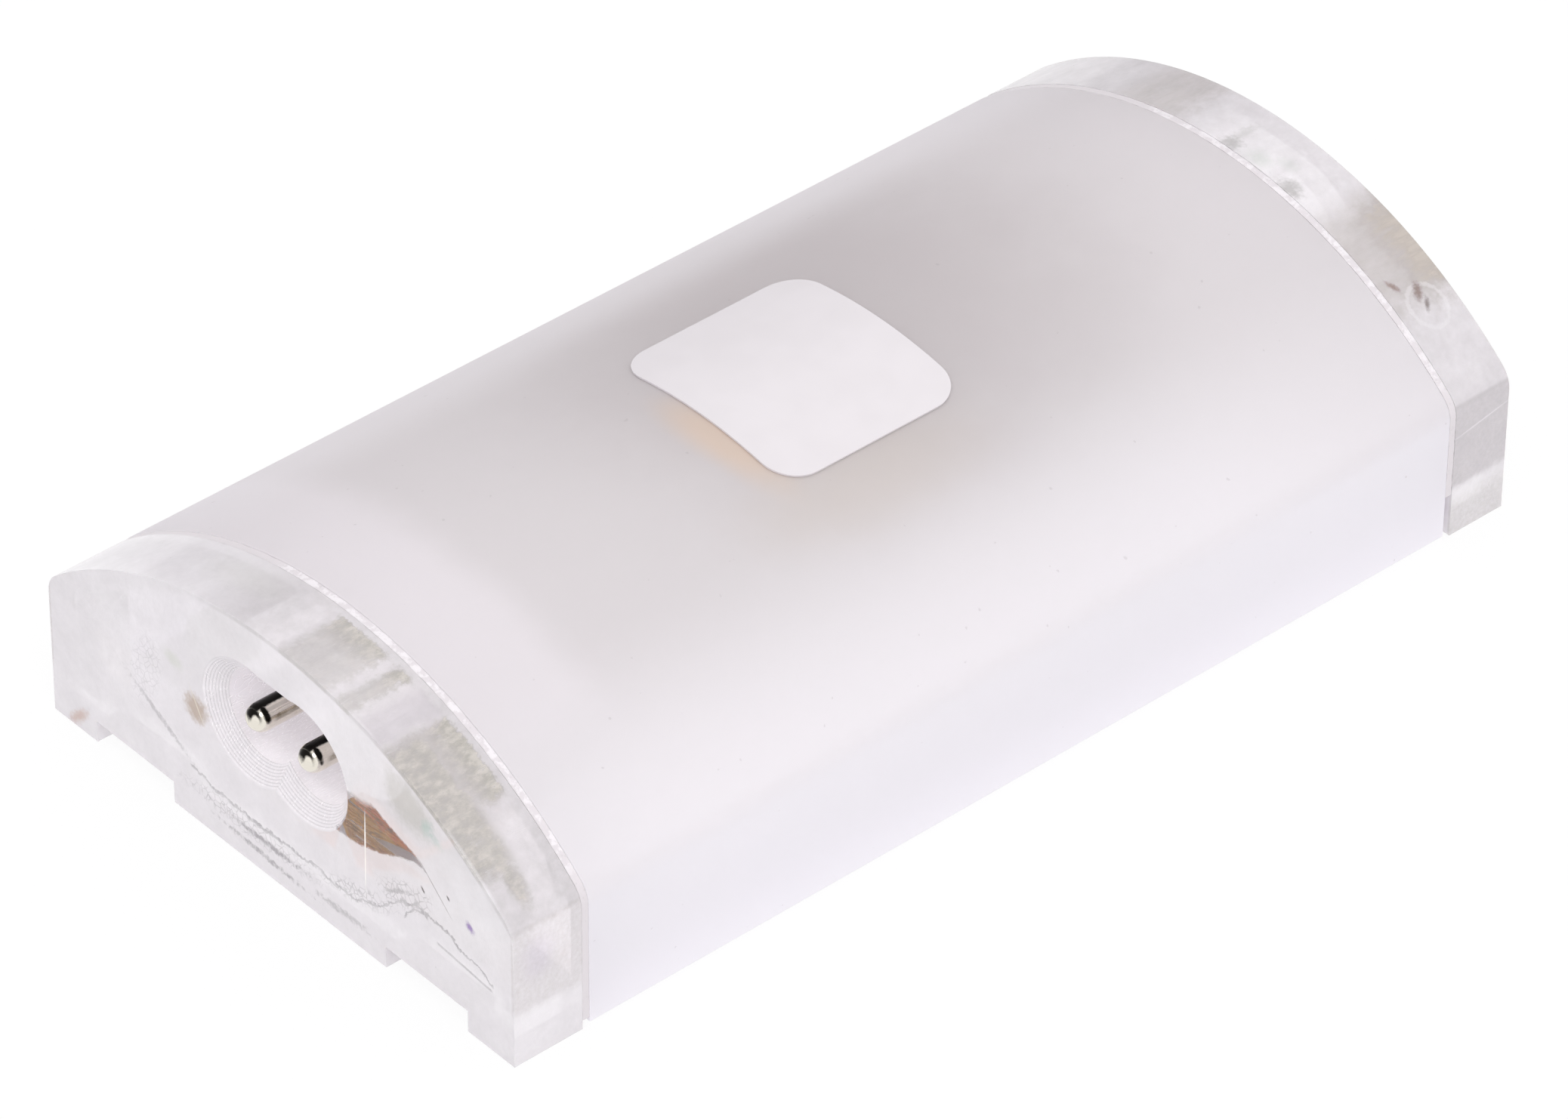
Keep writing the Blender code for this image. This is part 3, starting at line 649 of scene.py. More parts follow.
def right_stains_and_shade(f, y, z, depth, on_top, on_face, on_side):
    """Stained marks of the right cap and painted shade on its top and upper side, as (mask, colour) pairs; it has no
    clearest patch.
    """
    wander = f.noise(1.3, 4.0, 0.65) - 0.5
    fray = f.noise(4.0, 3.0, 0.6) - 0.5
    streaks = f.noise(2.2, 3.0, 0.6, f.stretched((0.3, 1.0, 1.0)))
    # Painted shade: wide patches on the top where the module's shadowed inside shows through.
    broad_shade = f.most((
        f.between(y + wander * 2.4, 3.2, 7.6, 1.2) * 0.42,
        f.between(y + wander * 2.4, -13.4, -7.6, 1.3) * (0.55 + f.step(depth, 2.8, 0.2) * 0.6),
        blotch(f, y, depth, (-10.5, 0.1), (2.6, 0.5), 0.0, 0.7, fray * 1.4) * 0.85,
    ))
    ring_y, ring_depth = y + 13.7, depth - 1.9
    ring = abs(f.maths("SQRT", ring_y * ring_y + ring_depth * ring_depth) + fray * 0.3 - 1.1)
    stains_and_shade = [
        # Painted shade: the veil over the top, the wide patches and the side's upper part.
        (on_top * (0.36 + wander * 0.8), rgb(212, 207, 210)),
        (on_top * broad_shade * (0.5 + streaks * 0.9), None),
        (on_top * f.step(ring, 0.16, 0.05) * 0.4, (0.97, 0.95, 0.97)),
        *((on_top * spot(f, y, depth, fray, shape), colour) for *shape, colour in RIGHT_TOP_STAINS),
        (on_side * f.step(z + wander, 2.6, 3.4) * (0.62 + fray * 0.5), rgb(196, 190, 193)),
        (on_side * f.step(z + wander, 3.0, 1.6) * (0.4 + fray), rgb(206, 202, 198)),
        (on_side * blotch(f, depth, z, (1.9, 6.6), (2.2, 0.06), -0.18, 0.5, fray * 0.3) * 0.8, rgb(238, 234, 238)),
    ]
    return stains_and_shade, 0.0


def acrylic_finish(sizes, colours, side):
    """Clear acrylic gone milky with work: polished faces, machined bores, scratches, smeared and stained patches,
    painted shade on the tops and sides, and a painted glow in the bores.
    """
    f = Finish(f"clear_acrylic_{side}")
    x, y, z = f.axes()
    left = side == "left"
    depth = (x - LEFT_FACE / MM) if left else (RIGHT_FACE / MM - x)
    row = abs(y) - sizes.pin_pitch / 2 / MM
    rise = z - PIN_HEIGHT / MM
    radial = f.maths("SQRT", row * row + rise * rise)
    mouth = sizes.mouth_radius / MM
    mouth_end = sizes.mouth_depth / MM
    cover_start = flange_of(sizes, side) / MM
    side_wall = HALF_WIDTH / MM
    in_bore = f.step(radial, mouth + 0.12, mouth - 0.02) * f.step(depth, 0.02, 0.10)
    dome = dome_radius(sizes) / MM
    up = z - (CROWN_TOP / MM - dome)
    on_top = f.step(f.maths("SQRT", y * y + up * up), dome - 0.35, dome - 0.15)
    on_face = f.step(depth, 0.2, 0.1)
    on_side = f.step(abs(y), side_wall - 0.2, side_wall - 0.1)
    cloud = f.noise(0.45, 4.0, 0.6)
    fine = f.noise(3.0, 4.0, 0.6)
    marks = f.most((scratches(f, 1.1, 9.0, 0.5, 3.0, 0.012), scratches(f, 0.8, 12.0, -0.4, 11.0, 0.010) * 0.8))
    cone = in_bore * f.step(depth, mouth_end + 0.05, mouth_end)
    rings = f.maths("SINE", depth * (TURN / RING_SPACING)) * cone
    hidden = f.step(depth, cover_start + 0.02, cover_start + 0.2) * (1 - in_bore)
    smears_and_shade = left_stains_and_shade if left else right_stains_and_shade
    stains_and_shade, window = smears_and_shade(f, y, z, depth, on_top, on_face, on_side)
    clean = (1 - window) * (1 - hidden)
    normal = f.dips((rings * 0.6 + cloud * 0.5 - marks * 0.3) * clean, 0.008 * MM)
    colour = f.mix(marks * 0.35, colours.haze, (0.97, 0.96, 0.97))
    colour = f.mix(f.step(rings, 0.1, 0.8) * 0.5, colour, rgb(190, 185, 190))
    cover = marks * 0.15
    for mask, paint in stains_and_shade:
        colour = f.mix(mask, colour, paint or colours.cap_shade)
        cover = f.maths("MAXIMUM", cover, mask)
    rough = 0.004 + (0.04 + in_bore * 0.14 + marks * 0.15 + cloud * 0.04) * clean
    glass = f.shader(base_color=colours.acrylic, roughness=rough, ior=ACRYLIC_IOR, transmission_weight=1.0,
                     normal=normal)
    # Painted light: the bores glow faintly in their own colour.
    glow = f.mix(in_bore * (1 - cone * 0.6), (0.0, 0.0, 0.0), colour)
    milky = f.shader(base_color=colour, roughness=0.22 + fine * 0.2, normal=normal, emission_color=glow,
                     emission_strength=BORE_GLOW)
    haze = (0.52 + cloud * 0.18 + fine * 0.06) * (1 - window * 0.985) * (1 - hidden * 0.97)
    return f.done(f.blend(f.maths("MAXIMUM", haze, cover * 0.85, clamp=True), glass, milky))


class MODULE_OT_end_caps(bpy.types.Operator):
    """Build both clear end caps"""
    bl_idname = "light_module.end_caps"
    bl_label = "End caps"

    def execute(self, context):
        sizes = context.scene.light_module_sizes
        colours = context.scene.light_module_colours
        for side in ("left", "right"):
            builder = cap_builder(sizes, side)
            bmesh.ops.transform(builder, matrix=end_matrix(side), verts=builder.verts)
            cap = new_piece(f"{side}_clear_cap", builder, acrylic_finish(sizes, colours, side))
            soften(cap, 0.06 * MM, 2, 32)
            settle(cap, "clear_cap", f"{side}_end_cap")
        return {"FINISHED"}


def pin_finish(sizes, colours):
    """Bright plate with a painted black reflection along the upper flank and round the nose, a painted highlight left
    clear on the nose, and a painted brown reflection on the lower flank.
    """
    f = Finish("pin_plate")
    x, y, z = f.axes()
    depth = f.maths("MINIMUM", x - LEFT_FACE / MM, RIGHT_FACE / MM - x)
    across = y - f.maths("SIGN", y) * (sizes.pin_pitch / 2 / MM)
    around = f.maths("ARCTAN2", z - PIN_HEIGHT / MM, across) * (360 / TURN)
    lines = f.noise(3.0, 2.0, 0.5, f.stretched((14.0, 0.6, 0.6)))
    stain = f.noise(2.6, 4.0, 0.65) - 0.5
    wobble = stain * 14.0
    # Painted reflection: black along the upper flank and round the nose.
    dark_reflection = f.most((
        f.between(around + wobble, 52.0, 108.0, 5.0) * f.step(depth, 0.28, 0.45),
        blotch(f, around + wobble, depth, (132.0, 0.72), (40.0, 0.17), 0.0, 0.3, stain),
        blotch(f, around, depth, (95.0, 0.28), (62.0, 0.20), 0.0, 0.4, stain),
    ))
    # A painted highlight is left clear near the nose's tip.
    dark_reflection = dark_reflection * (1 - blotch(f, around + wobble, depth, (146.0, 0.20), (34.0, 0.13), 0.0, 0.3, stain))
    # Painted brown reflection along the lower flank.
    low = f.between(around + wobble * 1.4, 158.0, 178.0, 6.0) * f.step(depth, 1.0, 1.3) * (0.6 + stain)
    colour = f.mix(f.step(stain, 0.05, 0.3), colours.nickel, (0.66, 0.60, 0.48))
    colour = f.mix(low, colour, (0.20, 0.17, 0.11))
    colour = f.mix(dark_reflection, colour, (0.012, 0.011, 0.010))
    return f.done(f.shader(base_color=colour, metallic=1.0, roughness=0.07 + lines * 0.06,
                           normal=f.dips(lines, 0.0012 * MM)))


def copper_finish(colours):
    """Bare copper, red where it is clean and amber where flux has run over it, with painted shade between the
    strands, painted glints and a faint painted glow.
    """
    f = Finish("bare_copper")
    patch = f.noise(1.1, 3.0, 0.6)
    _, y, z = f.axes()
    flux = f.step(z + (patch - 0.5) * 1.6 + abs(y) * 0.28, 4.75, 4.3)
    colour = f.mix(flux * 0.9, colours.copper, (0.60, 0.31, 0.015))
    # Painted shade between the strands.
    gap_shade = f.step(f.noise(2.6, 3.0, 0.6, f.stretched((1.0, 0.45, 1.9))), 0.52, 0.66)
    colour = f.mix(gap_shade * 0.6, colour, (0.16, 0.07, 0.01))
    # Painted glints.
    glint = f.step(f.noise(5.0, 2.0, 0.5), 0.62, 0.72)
    colour = f.mix(glint * 0.4, colour, (0.90, 0.55, 0.32))
    # Painted light: a faint glow in the copper's own colour.
    return f.done(f.shader(base_color=colour, metallic=0.35, roughness=0.3 + patch * 0.2,
                           normal=f.dips(f.noise(9.0, 2.0, 0.5), 0.004 * MM), emission_color=colour,
                           emission_strength=COPPER_GLOW))


class MODULE_OT_pins(bpy.types.Operator):
    """Build the four round-nosed pins"""
    bl_idname = "light_module.pins"
    bl_label = "Pins"

    def execute(self, context):
        sizes = context.scene.light_module_sizes
        material = pin_finish(sizes, context.scene.light_module_colours)
        for side in ("left", "right"):
            for place in ("front", "back"):
                self.pin(sizes, side, place, material)
        return {"FINISHED"}

    def pin(self, sizes, side, place, material):
        node = f"{side}_pin_{place}"
        low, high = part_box(node)
        reach = high.x - low.x
        radius = sizes.pin_radius
        chamfer = 0.12 * MM
        profile = [(0, 0)]
        for step in range(1, NOSE_STEPS + 1):
            angle = math.pi / 2 * step / NOSE_STEPS
            profile.append((radius * (1 - math.cos(angle)), radius * math.sin(angle)))
        profile += [(reach - chamfer, radius), (reach, radius - chamfer), (reach, 0)]
        builder = turned(profile, PIN_STEPS)
        tip = low.x if side == "left" else -high.x
        bmesh.ops.translate(builder, vec=(tip, 0, 0), verts=builder.verts)
        if side == "right":
            bmesh.ops.rotate(builder, cent=(0, 0, 0), matrix=Matrix.Rotation(math.pi, 3, "Z"), verts=builder.verts)
        bmesh.ops.translate(builder, vec=(0, (low.y + high.y) / 2, (low.z + high.z) / 2), verts=builder.verts)
        pin = new_piece(f"{node}_turned", builder, material)
        settle(pin, "pin_metal", node)


class MODULE_OT_leads(bpy.types.Operator):
    """Build the bare copper strands behind each pin"""
    bl_idname = "light_module.leads"
    bl_label = "Leads"

    def execute(self, context):
        sizes = context.scene.light_module_sizes
        material = copper_finish(context.scene.light_module_colours)
        for side in ("left", "right"):
            for place in ("front", "back"):
                self.lead(sizes, side, place, material)
        return {"FINISHED"}

    def lead(self, sizes, side, place, material):
        """Strands that fan out under the pin's tail and twist together towards the board."""
        node = f"{side}_lead_{place}"
        facing = -1 if place == "front" else 1
        row = facing if side == "left" else -facing
        spigot_end = flange_of(sizes, side) + sizes.spigot
        pin_y = sizes.pin_pitch / 2
        knot = Vector((spigot_end + 0.45 * MM, 6.1 * MM, 3.45 * MM))
        board_end = Vector((spigot_end + 3.3 * MM, 8.0 * MM, BOARD_TOP + 0.65 * MM))
        draw = random.Random(f"strands {node}")
        builder = bmesh.new()
        for number in range(STRANDS):
            share = (number + 0.5) / STRANDS
            around = TURN * share * 2.4
            fan = Vector((spigot_end + 0.30 * MM + 0.14 * MM * draw.uniform(-1, 1),
                          pin_y - 2.35 * MM + 2.8 * MM * share * share, 1.75 * MM + 3.3 * MM * share))
            tail = Vector((spigot_end + 0.8 * MM, pin_y + 0.45 * MM * math.cos(around),
                           PIN_HEIGHT - 0.85 * MM + 0.25 * MM * math.sin(around)))
            bow = draw.uniform(-0.15, 0.15) * MM
            points = []
            for step in range(STRAND_STEPS + 1):
                t = step / STRAND_STEPS
                point = self.strand_point(t, tail, fan, knot, board_end, bow)
                twist = around + max(0.0, t - 0.5) * 16
                hold = 0.22 * MM * min(1.0, max(0.0, (t - 0.45) / 0.27)) * math.sqrt(share)
                point = point + Vector((math.cos(twist) * hold, 0, math.sin(twist) * hold))
                points.append(Vector((point.x, row * point.y, point.z)))
            tube(builder, points, sizes.strand, STRAND_SIDES)
        bmesh.ops.transform(builder, matrix=end_matrix(side), verts=builder.verts)
        strands = new_piece(f"{node}_strands", builder, material)
        settle(strands, "copper", node)

    def strand_point(self, t, tail, fan, knot, board_end, bow):
        """Place on a strand from t = 0 at the pin's tail, over the fan and the knot, to t = 1 at the board."""
        at_fan, at_knot = 0.3, 0.72
        if t < at_fan:
            return tail.lerp(fan, t / at_fan)
        if t >= at_knot:
            return knot.lerp(board_end, (t - at_knot) / 0.28)
        along = (t - at_fan) / 0.42
        eased = along * along * (3 - 2 * along)
        point = fan.lerp(knot, along)
        point.z += (knot.z - fan.z) * (eased - along) * 0.6
        point.x += bow * math.sin(math.pi * along)
        return point


def glue_finish():
    """Dried cement with bubbles, with a painted highlight in broken stretches along the front."""
    f = Finish("cement")
    spots = f.step(f.cells(3.2, "F1"), 0.22, 0.12)
    cloud = f.noise(2.5, 4.0, 0.6)
    broken = f.step(f.noise(1.5, 4.0, 0.65), 0.46, 0.58)
    # Painted highlight along the front of the joint, in broken stretches.
    bright = f.between(f.axes()[1], -17.0, 5.0, 0.6) * broken
    colour = f.mix(bright * 0.55, rgb(212, 206, 210), rgb(238, 234, 238))
    colour = f.mix(spots * 0.35, colour, rgb(196, 192, 194))
    return f.done(f.shader(base_color=colour, roughness=0.3 + cloud * 0.3,
                           normal=f.dips(cloud - spots * 0.6, 0.012 * MM)))


class MODULE_OT_bond_lines(bpy.types.Operator):
    """Build the cement between the caps and the cover"""
    bl_idname = "light_module.bond_lines"
    bl_label = "Bond lines"

    def execute(self, context):
        sizes = context.scene.light_module_sizes
        material = glue_finish()
        for side in ("left", "right"):
            self.bead(sizes, side, material)
        return {"FINISHED"}

    def bead(self, sizes, side, material):
        """Uneven cement that fills the joint; on the right end it stops above the feet."""
        draw = random.Random(f"cement {side}")
        gap = 0.02 * MM
        if side == "left":
            start, end = LEFT_FACE + sizes.left_flange + gap, COVER_START - gap
            bottom = 0.5 * MM
        else:
            start, end = COVER_END + gap, RIGHT_FACE - sizes.right_flange - gap
            bottom = 2.7 * MM
        width = sizes.wall + 0.1 * MM
        inner_y = HALF_WIDTH - width
        middle = 4.0 * MM
        inner = [(-inner_y, bottom), *reversed(shell_arc(sizes, width)), (inner_y, bottom)]
        rise = sizes.side_height - bottom
        path = [(HALF_WIDTH, bottom + rise * step / BEAD_SIDE_STEPS) for step in range(BEAD_SIDE_STEPS)]
        outer = path + shell_arc(sizes, 0) + [(-y, z) for y, z in reversed(path)]
        builder = bmesh.new()
        rings = []
        for row in range(BEAD_ROWS + 1):
            x = start + (end - start) * row / BEAD_ROWS
            ring = []
            for y, z in outer:
                sunk = 0.02 * MM + draw.random() ** 2 * 0.03 * MM
                away = Vector((0, y, z - middle)).normalized()
                ring.append(builder.verts.new(Vector((x, y, z)) - away * sunk))
            rings.append(ring + [builder.verts.new((x, y, z)) for y, z in inner])
        skin(builder, rings)
        line = new_piece(f"{side}_cement", builder, material)
        line.data.set_sharp_from_angle(angle=math.radians(50))
        settle(line, "adhesive", f"{side}_bond_line")


# Cover and base


def cover_finish(sizes, colours):
    """Frosted cover with painted light over the left spigot, towards the right end, near the edges and on the sides,
    painted shade round the label, a painted warm glow where the copper foil shows through beside the label, and
    painted warm shade along the label's front edge.
    """
    f = Finish("frosted_cover")
    x, y, z = f.axes()
    wander = f.noise(0.16, 3.0, 0.6) - 0.5
    grain = f.noise(9.0, 3.0, 0.6)
    # Painted light: paler over the left spigot, towards the right end and near both edges; painted shade round the
    # label.
    spigot_light = f.step(x + wander * 2.0, -20.6, -23.8) * f.step(y + wander * 3.0, -14.0, -10.0)
    far_light = f.step(x + wander * 5.0, 11.0, 30.0) * 0.34
    shade = blotch(f, x, y, (4.0, 2.0), (13.5, 11.0), 0.0, 0.62, wander * 0.5)
    near_edge_light = f.step(y, -8.0, -15.8) * (1 - f.step(x, 12.0, 28.0) * 0.4)
    back_edge_light = f.step(y, 9.0, 14.5) * 0.6
    # Painted warm glow where the copper foil shows through beside the label, and painted warm shade along the label's
    # front edge.
    foil = blotch(f, x, y, (-6.3, -2.2), (1.3, 3.6), 0.1, 0.65, wander * 0.4) * f.step(z, 12.5, 14.0)
    under = blotch(f, x, y, (-2.0, -8.0), (6.0, 2.4), 0.0, 0.8, wander * 0.6) * f.step(z, 12.0, 13.5)
    dust = f.step(f.noise(2.4, 1.0, 0.4), 0.78, 0.83)
    colour = colours.cover
    for mask, paint in (
        (far_light, colours.cover_lit_band),
        (shade, colours.cover_shade),
        (spigot_light, colours.cover_lit_band),
        (f.most((near_edge_light, back_edge_light)), colours.cover_lit_edge),
        (f.step(z, 8.6, 7.2), colours.cover_lit_side),
        (foil * 0.6, rgb(244, 218, 194)),
        (under * 0.3, rgb(226, 214, 202)),
        (dust * 0.25, rgb(186, 180, 182)),
    ):
        colour = f.mix(mask, colour, paint)
    marks = scratches(f, 0.5, 12.0, 1.2, 8.0, 0.006)
    normal = f.dips(grain * 0.5 + marks * 0.6, 0.0035 * MM)
    front = f.shader(base_color=colour, roughness=0.40 + grain * 0.12, ior=ACRYLIC_IOR, normal=normal)
    through = f.node("ShaderNodeBsdfTranslucent", None, {"Color": colour, "Normal": normal})
    return f.done(f.blend(COVER_THROUGH, front, through))


class MODULE_OT_cover(bpy.types.Operator):
    """Build the frosted cover"""
    bl_idname = "light_module.cover"
    bl_label = "Cover"

    def execute(self, context):
        sizes = context.scene.light_module_sizes
        colours = context.scene.light_module_colours
        inner_y = HALF_WIDTH - sizes.wall
        points = [(HALF_WIDTH, BODY_BOTTOM), *shell_arc(sizes, 0), (-HALF_WIDTH, BODY_BOTTOM)]
        points += [(-inner_y, BODY_BOTTOM), *reversed(shell_arc(sizes, sizes.wall)), (inner_y, BODY_BOTTOM)]
        cover = new_piece("frosted_cover", extrude_outline(points, COVER_START, COVER_END, COVER_ROWS),
                          cover_finish(sizes, colours))
        soften(cover, 0.05 * MM, 2, 40)
        settle(cover, "frosted_cover", "cover_shell")
        return {"FINISHED"}


def plastic_finish(name, colour, rough=0.4, grain=8.0, depth=0.01):
    """Moulded plastic with a fine grain, faint flow lines and dust."""
    f = Finish(name)
    fine = f.noise(grain, 3.0, 0.6)
    flow = f.noise(0.25, 2.0, 0.5)
    dull = tuple(channel * 0.9 for channel in colour)
    shade = f.mix(f.step(flow, 0.35, 0.7) * 0.5, colour, dull)
    return f.done(f.shader(base_color=shade, roughness=rough + fine * 0.15, normal=f.dips(fine, depth * MM)))


class MODULE_OT_base(bpy.types.Operator):
    """Finish the white base plate"""
    bl_idname = "light_module.base"
    bl_label = "Base plate"

    def execute(self, context):
        colours = context.scene.light_module_colours
        dress("base_plate", plastic_finish("white_base", colours.base), 0.1 * MM)
        return {"FINISHED"}


# Touch pad


def rounded_sheet(length, width, corner, centre_z, inner_radius, thickness):
    """Round-cornered sheet that follows the crown, centred over x = 0."""
    places = []
    for step in range(CORNER_STEPS + 1):
        angle = math.pi / 2 * step / CORNER_STEPS
        places.append((width / 2 - corner + corner * math.cos(angle), length / 2 - corner + corner * math.sin(angle)))
    inner = places[-1][0]
    middle = [(inner * (2 * step / SHEET_COLUMNS - 1), length / 2) for step in range(1, SHEET_COLUMNS)]
    left = [(-across, half) for across, half in places]
    run = left + middle + list(reversed(places))
    builder = bmesh.new()
    layers = []
    for radius in (inner_radius, inner_radius + thickness):
        rows = []
        for across, half in run:
            angle = across / inner_radius
            y = radius * math.sin(angle)
            z = centre_z + radius * math.cos(angle)
            rows.append([builder.verts.new((x, y, z)) for x in (-half, half)])
        layers.append(rows)
    bottom, top = layers
    last = len(run) - 1
    for first in range(last):
        second = first + 1
        for rows in layers:
            builder.faces.new((rows[first][0], rows[first][1], rows[second][1], rows[second][0]))
        for end in (0, 1):
            builder.faces.new((bottom[first][end], bottom[second][end], top[second][end], top[first][end]))
    for edge in (0, last):
        builder.faces.new((bottom[edge][0], bottom[edge][1], top[edge][1], top[edge][0]))
    return builder


def label_finish(colours):
    f = Finish("label_film")
    fine = f.noise(20.0, 2.0, 0.5)
    cloud = f.noise(0.4, 2.0, 0.5)
    colour = f.mix(f.step(cloud, 0.3, 0.7) * 0.1, colours.label, rgb(236, 231, 236))
    return f.done(f.shader(base_color=colour, roughness=0.33 + fine * 0.1, normal=f.dips(fine, 0.002 * MM)))


class MODULE_OT_touch_pad(bpy.types.Operator):
    """Build the touch label and finish the foil under the crown"""
    bl_idname = "light_module.touch_pad"
    bl_label = "Touch pad"

    def execute(self, context):
        sizes = context.scene.light_module_sizes
        colours = context.scene.light_module_colours
        dome = dome_radius(sizes)
        glue, film = 0.02 * MM, 0.13 * MM
        builder = rounded_sheet(sizes.label_length, sizes.label_width, sizes.label_corner, CROWN_TOP - dome,
                                dome + glue, film)
        label = new_piece("touch_label_film", builder, label_finish(colours))
        soften(label, 0.03 * MM, 2, 40)
        settle(label, "label_white", "touch_label")
        dress("touch_electrode", copper_finish(colours), 0.03 * MM)
        return {"FINISHED"}


# Electronics


def board_finish():
    """White solder mask with a fine weave."""
    f = Finish("board_mask")
    weave = f.noise(5.0, 3.0, 0.6)
    return f.done(f.shader(base_color=rgb(222, 224, 218), roughness=0.45 + weave * 0.1,
                           normal=f.dips(weave * 0.5, 0.02 * MM)))


def led_finish():
    """White package with a yellow window sunk into its top."""
    f = Finish("led_package")
    below_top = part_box("led_1")[1].z / MM - f.axes()[2]
    window = f.step(below_top, 0.14, 0.09) * f.step(below_top, 0.02, 0.05)
    speck = f.noise(12.0, 2.0, 0.6)
    colour = f.mix(window, rgb(238, 236, 230), rgb(226, 200, 92))
    return f.done(f.shader(base_color=colour, roughness=0.35 + speck * 0.1, normal=f.dips(speck, 0.01 * MM)))


def metal_finish(name, colour, rough):
    f = Finish(name)
    brushed = f.noise(4.0, 2.0, 0.5, f.stretched((1.0, 1.0, 12.0)))
    return f.done(f.shader(base_color=colour, metallic=1.0, roughness=rough + brushed * 0.12,
                           normal=f.dips(brushed, 0.004 * MM)))


class MODULE_OT_electronics(bpy.types.Operator):
    """Finish the board and what stands on it"""
    bl_idname = "light_module.electronics"
    bl_label = "Electronics"

    def execute(self, context):
        dress("circuit_board", board_finish(), 0.08 * MM)
        dress("board_pad", plastic_finish("thermal_pad", rgb(190, 190, 192), 0.7, 5.0, 0.03), 0.08 * MM)
        led = led_finish()
        for number in range(LEDS):
            dress(f"led_{number + 1}", led)
        black = plastic_finish("moulded_epoxy", rgb(48, 47, 48), 0.5, 10.0, 0.02)
        for node in ("touch_chip", "voltage_regulator", "dimmer_mosfet", "resistor_1", "resistor_2", "resistor_3"):
            dress(node, black, 0.05 * MM)
        tan = plastic_finish("fired_ceramic", rgb(176, 152, 120), 0.4, 12.0, 0.01)
        for node in ("ceramic_1", "ceramic_2"):
            dress(node, tan, 0.04 * MM)
        dress("filter_capacitor", metal_finish("drawn_can", (0.75, 0.75, 0.77), 0.2), 0.08 * MM)
        dress("touch_spring", metal_finish("tinned_wire", (0.76, 0.74, 0.70), 0.18))
        return {"FINISHED"}


# Stage


CAMERA_PLACE = Vector((-238.86, -268.44, 288.49)) * MM
CAMERA_RIGHT = (0.75089902, -0.6603893, 0.00605352)
CAMERA_UP = (0.40683454, 0.46977488, 0.78345212)
CAMERA_BACK = (-0.52022718, -0.58583064, 0.62142267)
CAMERA_LENS = 206.90
CAMERA_SHIFT = (0.00113, -0.00465)
CAMERA_REACH = 10.0
LAMP_PLACE = (-0.25, -0.35, 0.55)
LAMP_TARGET = (0, 0, 0.006)
LAMP_SIZE = 0.35
LAMP_POWER = 1.2
SKY_STRENGTH = 1.06
FLOOR_HALF = 1.5
FLOOR_DROP = 0.05 * MM
FLOOR_GLOW = 0.9
SCREENS = (("back_screen", (0.35, 0.42, 0.10), 0.5), ("right_screen", (0.55, 0.05, 0.10), 0.4))


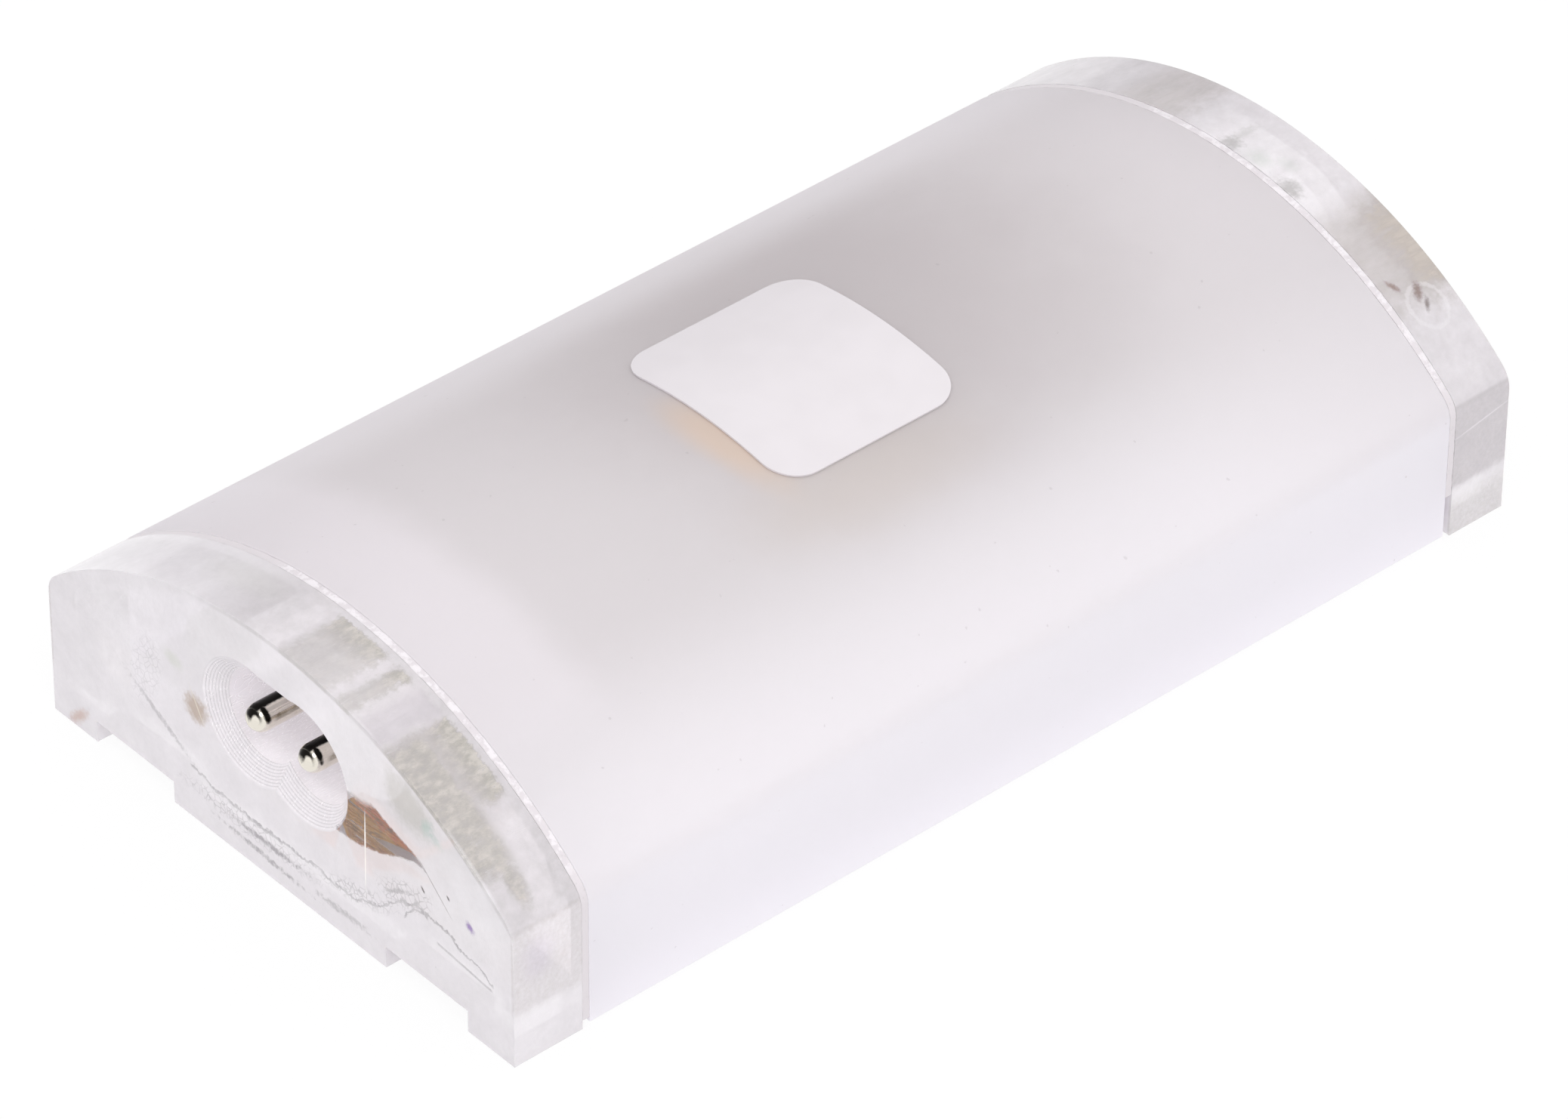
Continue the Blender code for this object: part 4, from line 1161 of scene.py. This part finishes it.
class MODULE_OT_stage(bpy.types.Operator):
    """Set the pale floor, the soft light and the camera"""
    bl_idname = "light_module.stage"
    bl_label = "Stage"

    def execute(self, context):
        scene = context.scene
        self.floor()
        self.sky(scene)
        self.lamp(scene)
        self.screens()
        self.camera(scene)
        scene.view_settings.view_transform = "Standard"
        scene.cycles.max_bounces = 20
        scene.cycles.diffuse_bounces = 8
        scene.cycles.transmission_bounces = 20
        return {"FINISHED"}

    def floor(self):
        builder = bmesh.new()
        bmesh.ops.create_grid(builder, x_segments=8, y_segments=8, size=FLOOR_HALF)
        bmesh.ops.translate(builder, vec=(0, 0, -FLOOR_DROP), verts=builder.verts)
        f = Finish("pale_floor")
        mottle = f.noise(0.02, 2.0, 0.5)
        paint = f.node("ShaderNodeBsdfDiffuse", None, {"Color": (0.9, 0.9, 0.9)})
        glow = f.node("ShaderNodeEmission", None, {"Color": f.mix(mottle * 0.1, (1, 1, 1), (0.99, 0.99, 1.0)),
                                                   "Strength": 1.0})
        new_piece("floor", builder, f.done(f.blend(FLOOR_GLOW, paint, glow)))

    def lamp(self, scene):
        data = bpy.data.lights.new("soft_key", "AREA")
        data.shape = "DISK"
        data.size = LAMP_SIZE
        data.energy = LAMP_POWER
        thing = bpy.data.objects.new("soft_key", data)
        thing.location = LAMP_PLACE
        thing.rotation_euler = (Vector(LAMP_TARGET) - Vector(LAMP_PLACE)).to_track_quat("-Z", "Y").to_euler()
        scene.collection.objects.link(thing)

    def screens(self):
        """Dark screens beside the set, seen only in what shines."""
        f = Finish("dark_screen")
        weave = f.noise(0.05, 2.0, 0.5)
        material = f.done(f.shader(base_color=f.mix(weave, (0.01, 0.01, 0.01), (0.02, 0.02, 0.02)), roughness=0.9))
        for name, centre, size in SCREENS:
            builder = bmesh.new()
            bmesh.ops.create_grid(builder, x_segments=4, y_segments=4, size=size / 2)
            screen = new_piece(name, builder, material)
            screen.location = centre
            screen.rotation_euler = (-Vector(centre)).to_track_quat("Z", "Y").to_euler()
            for ray in ("camera", "diffuse", "transmission", "shadow"):
                setattr(screen, f"visible_{ray}", False)

    def sky(self, scene):
        world = bpy.data.worlds.new("studio")
        scene.world = world
        world.use_nodes = True
        background = world.node_tree.nodes["Background"]
        background.inputs["Color"].default_value = (1.0, 1.0, 1.0, 1.0)
        background.inputs["Strength"].default_value = SKY_STRENGTH

    def camera(self, scene):
        data = bpy.data.cameras.new("view")
        data.sensor_width = 36.0
        data.lens = CAMERA_LENS
        data.shift_x, data.shift_y = CAMERA_SHIFT
        data.clip_end = CAMERA_REACH
        turn = Matrix((CAMERA_RIGHT, CAMERA_UP, CAMERA_BACK)).transposed().to_4x4()
        camera = bpy.data.objects.new("view", data)
        camera.matrix_world = Matrix.Translation(CAMERA_PLACE) @ turn
        scene.collection.objects.link(camera)
        scene.camera = camera


OPERATORS = (
    MODULE_OT_stage,
    MODULE_OT_cover,
    MODULE_OT_base,
    MODULE_OT_end_caps,
    MODULE_OT_pins,
    MODULE_OT_leads,
    MODULE_OT_bond_lines,
    MODULE_OT_touch_pad,
    MODULE_OT_electronics,
)


class MODULE_PT_panel(bpy.types.Panel):
    """The module's sizes, colours and pieces"""
    bl_idname = "MODULE_PT_panel"
    bl_label = "Light module"
    bl_space_type = "VIEW_3D"
    bl_region_type = "UI"
    bl_category = "Light module"

    def draw(self, context):
        for group in (context.scene.light_module_sizes, context.scene.light_module_colours):
            box = self.layout.box()
            for name in group.__annotations__:
                box.prop(group, name)
        for operator in OPERATORS:
            self.layout.operator(operator.bl_idname)


CLASSES = (ModuleSizes, ModuleColours) + OPERATORS + (MODULE_PT_panel,)


def register():
    for item in CLASSES:
        bpy.utils.register_class(item)
    bpy.types.Scene.light_module_sizes = PointerProperty(type=ModuleSizes)
    bpy.types.Scene.light_module_colours = PointerProperty(type=ModuleColours)


def unregister():
    del bpy.types.Scene.light_module_colours
    del bpy.types.Scene.light_module_sizes
    for item in reversed(CLASSES):
        bpy.utils.unregister_class(item)


def main():
    register()
    bpy.ops.light_module.stage()
    bpy.ops.light_module.cover()
    bpy.ops.light_module.base()
    bpy.ops.light_module.end_caps()
    bpy.ops.light_module.pins()
    bpy.ops.light_module.leads()
    bpy.ops.light_module.bond_lines()
    bpy.ops.light_module.touch_pad()
    bpy.ops.light_module.electronics()


if __name__ == "__main__":
    main()
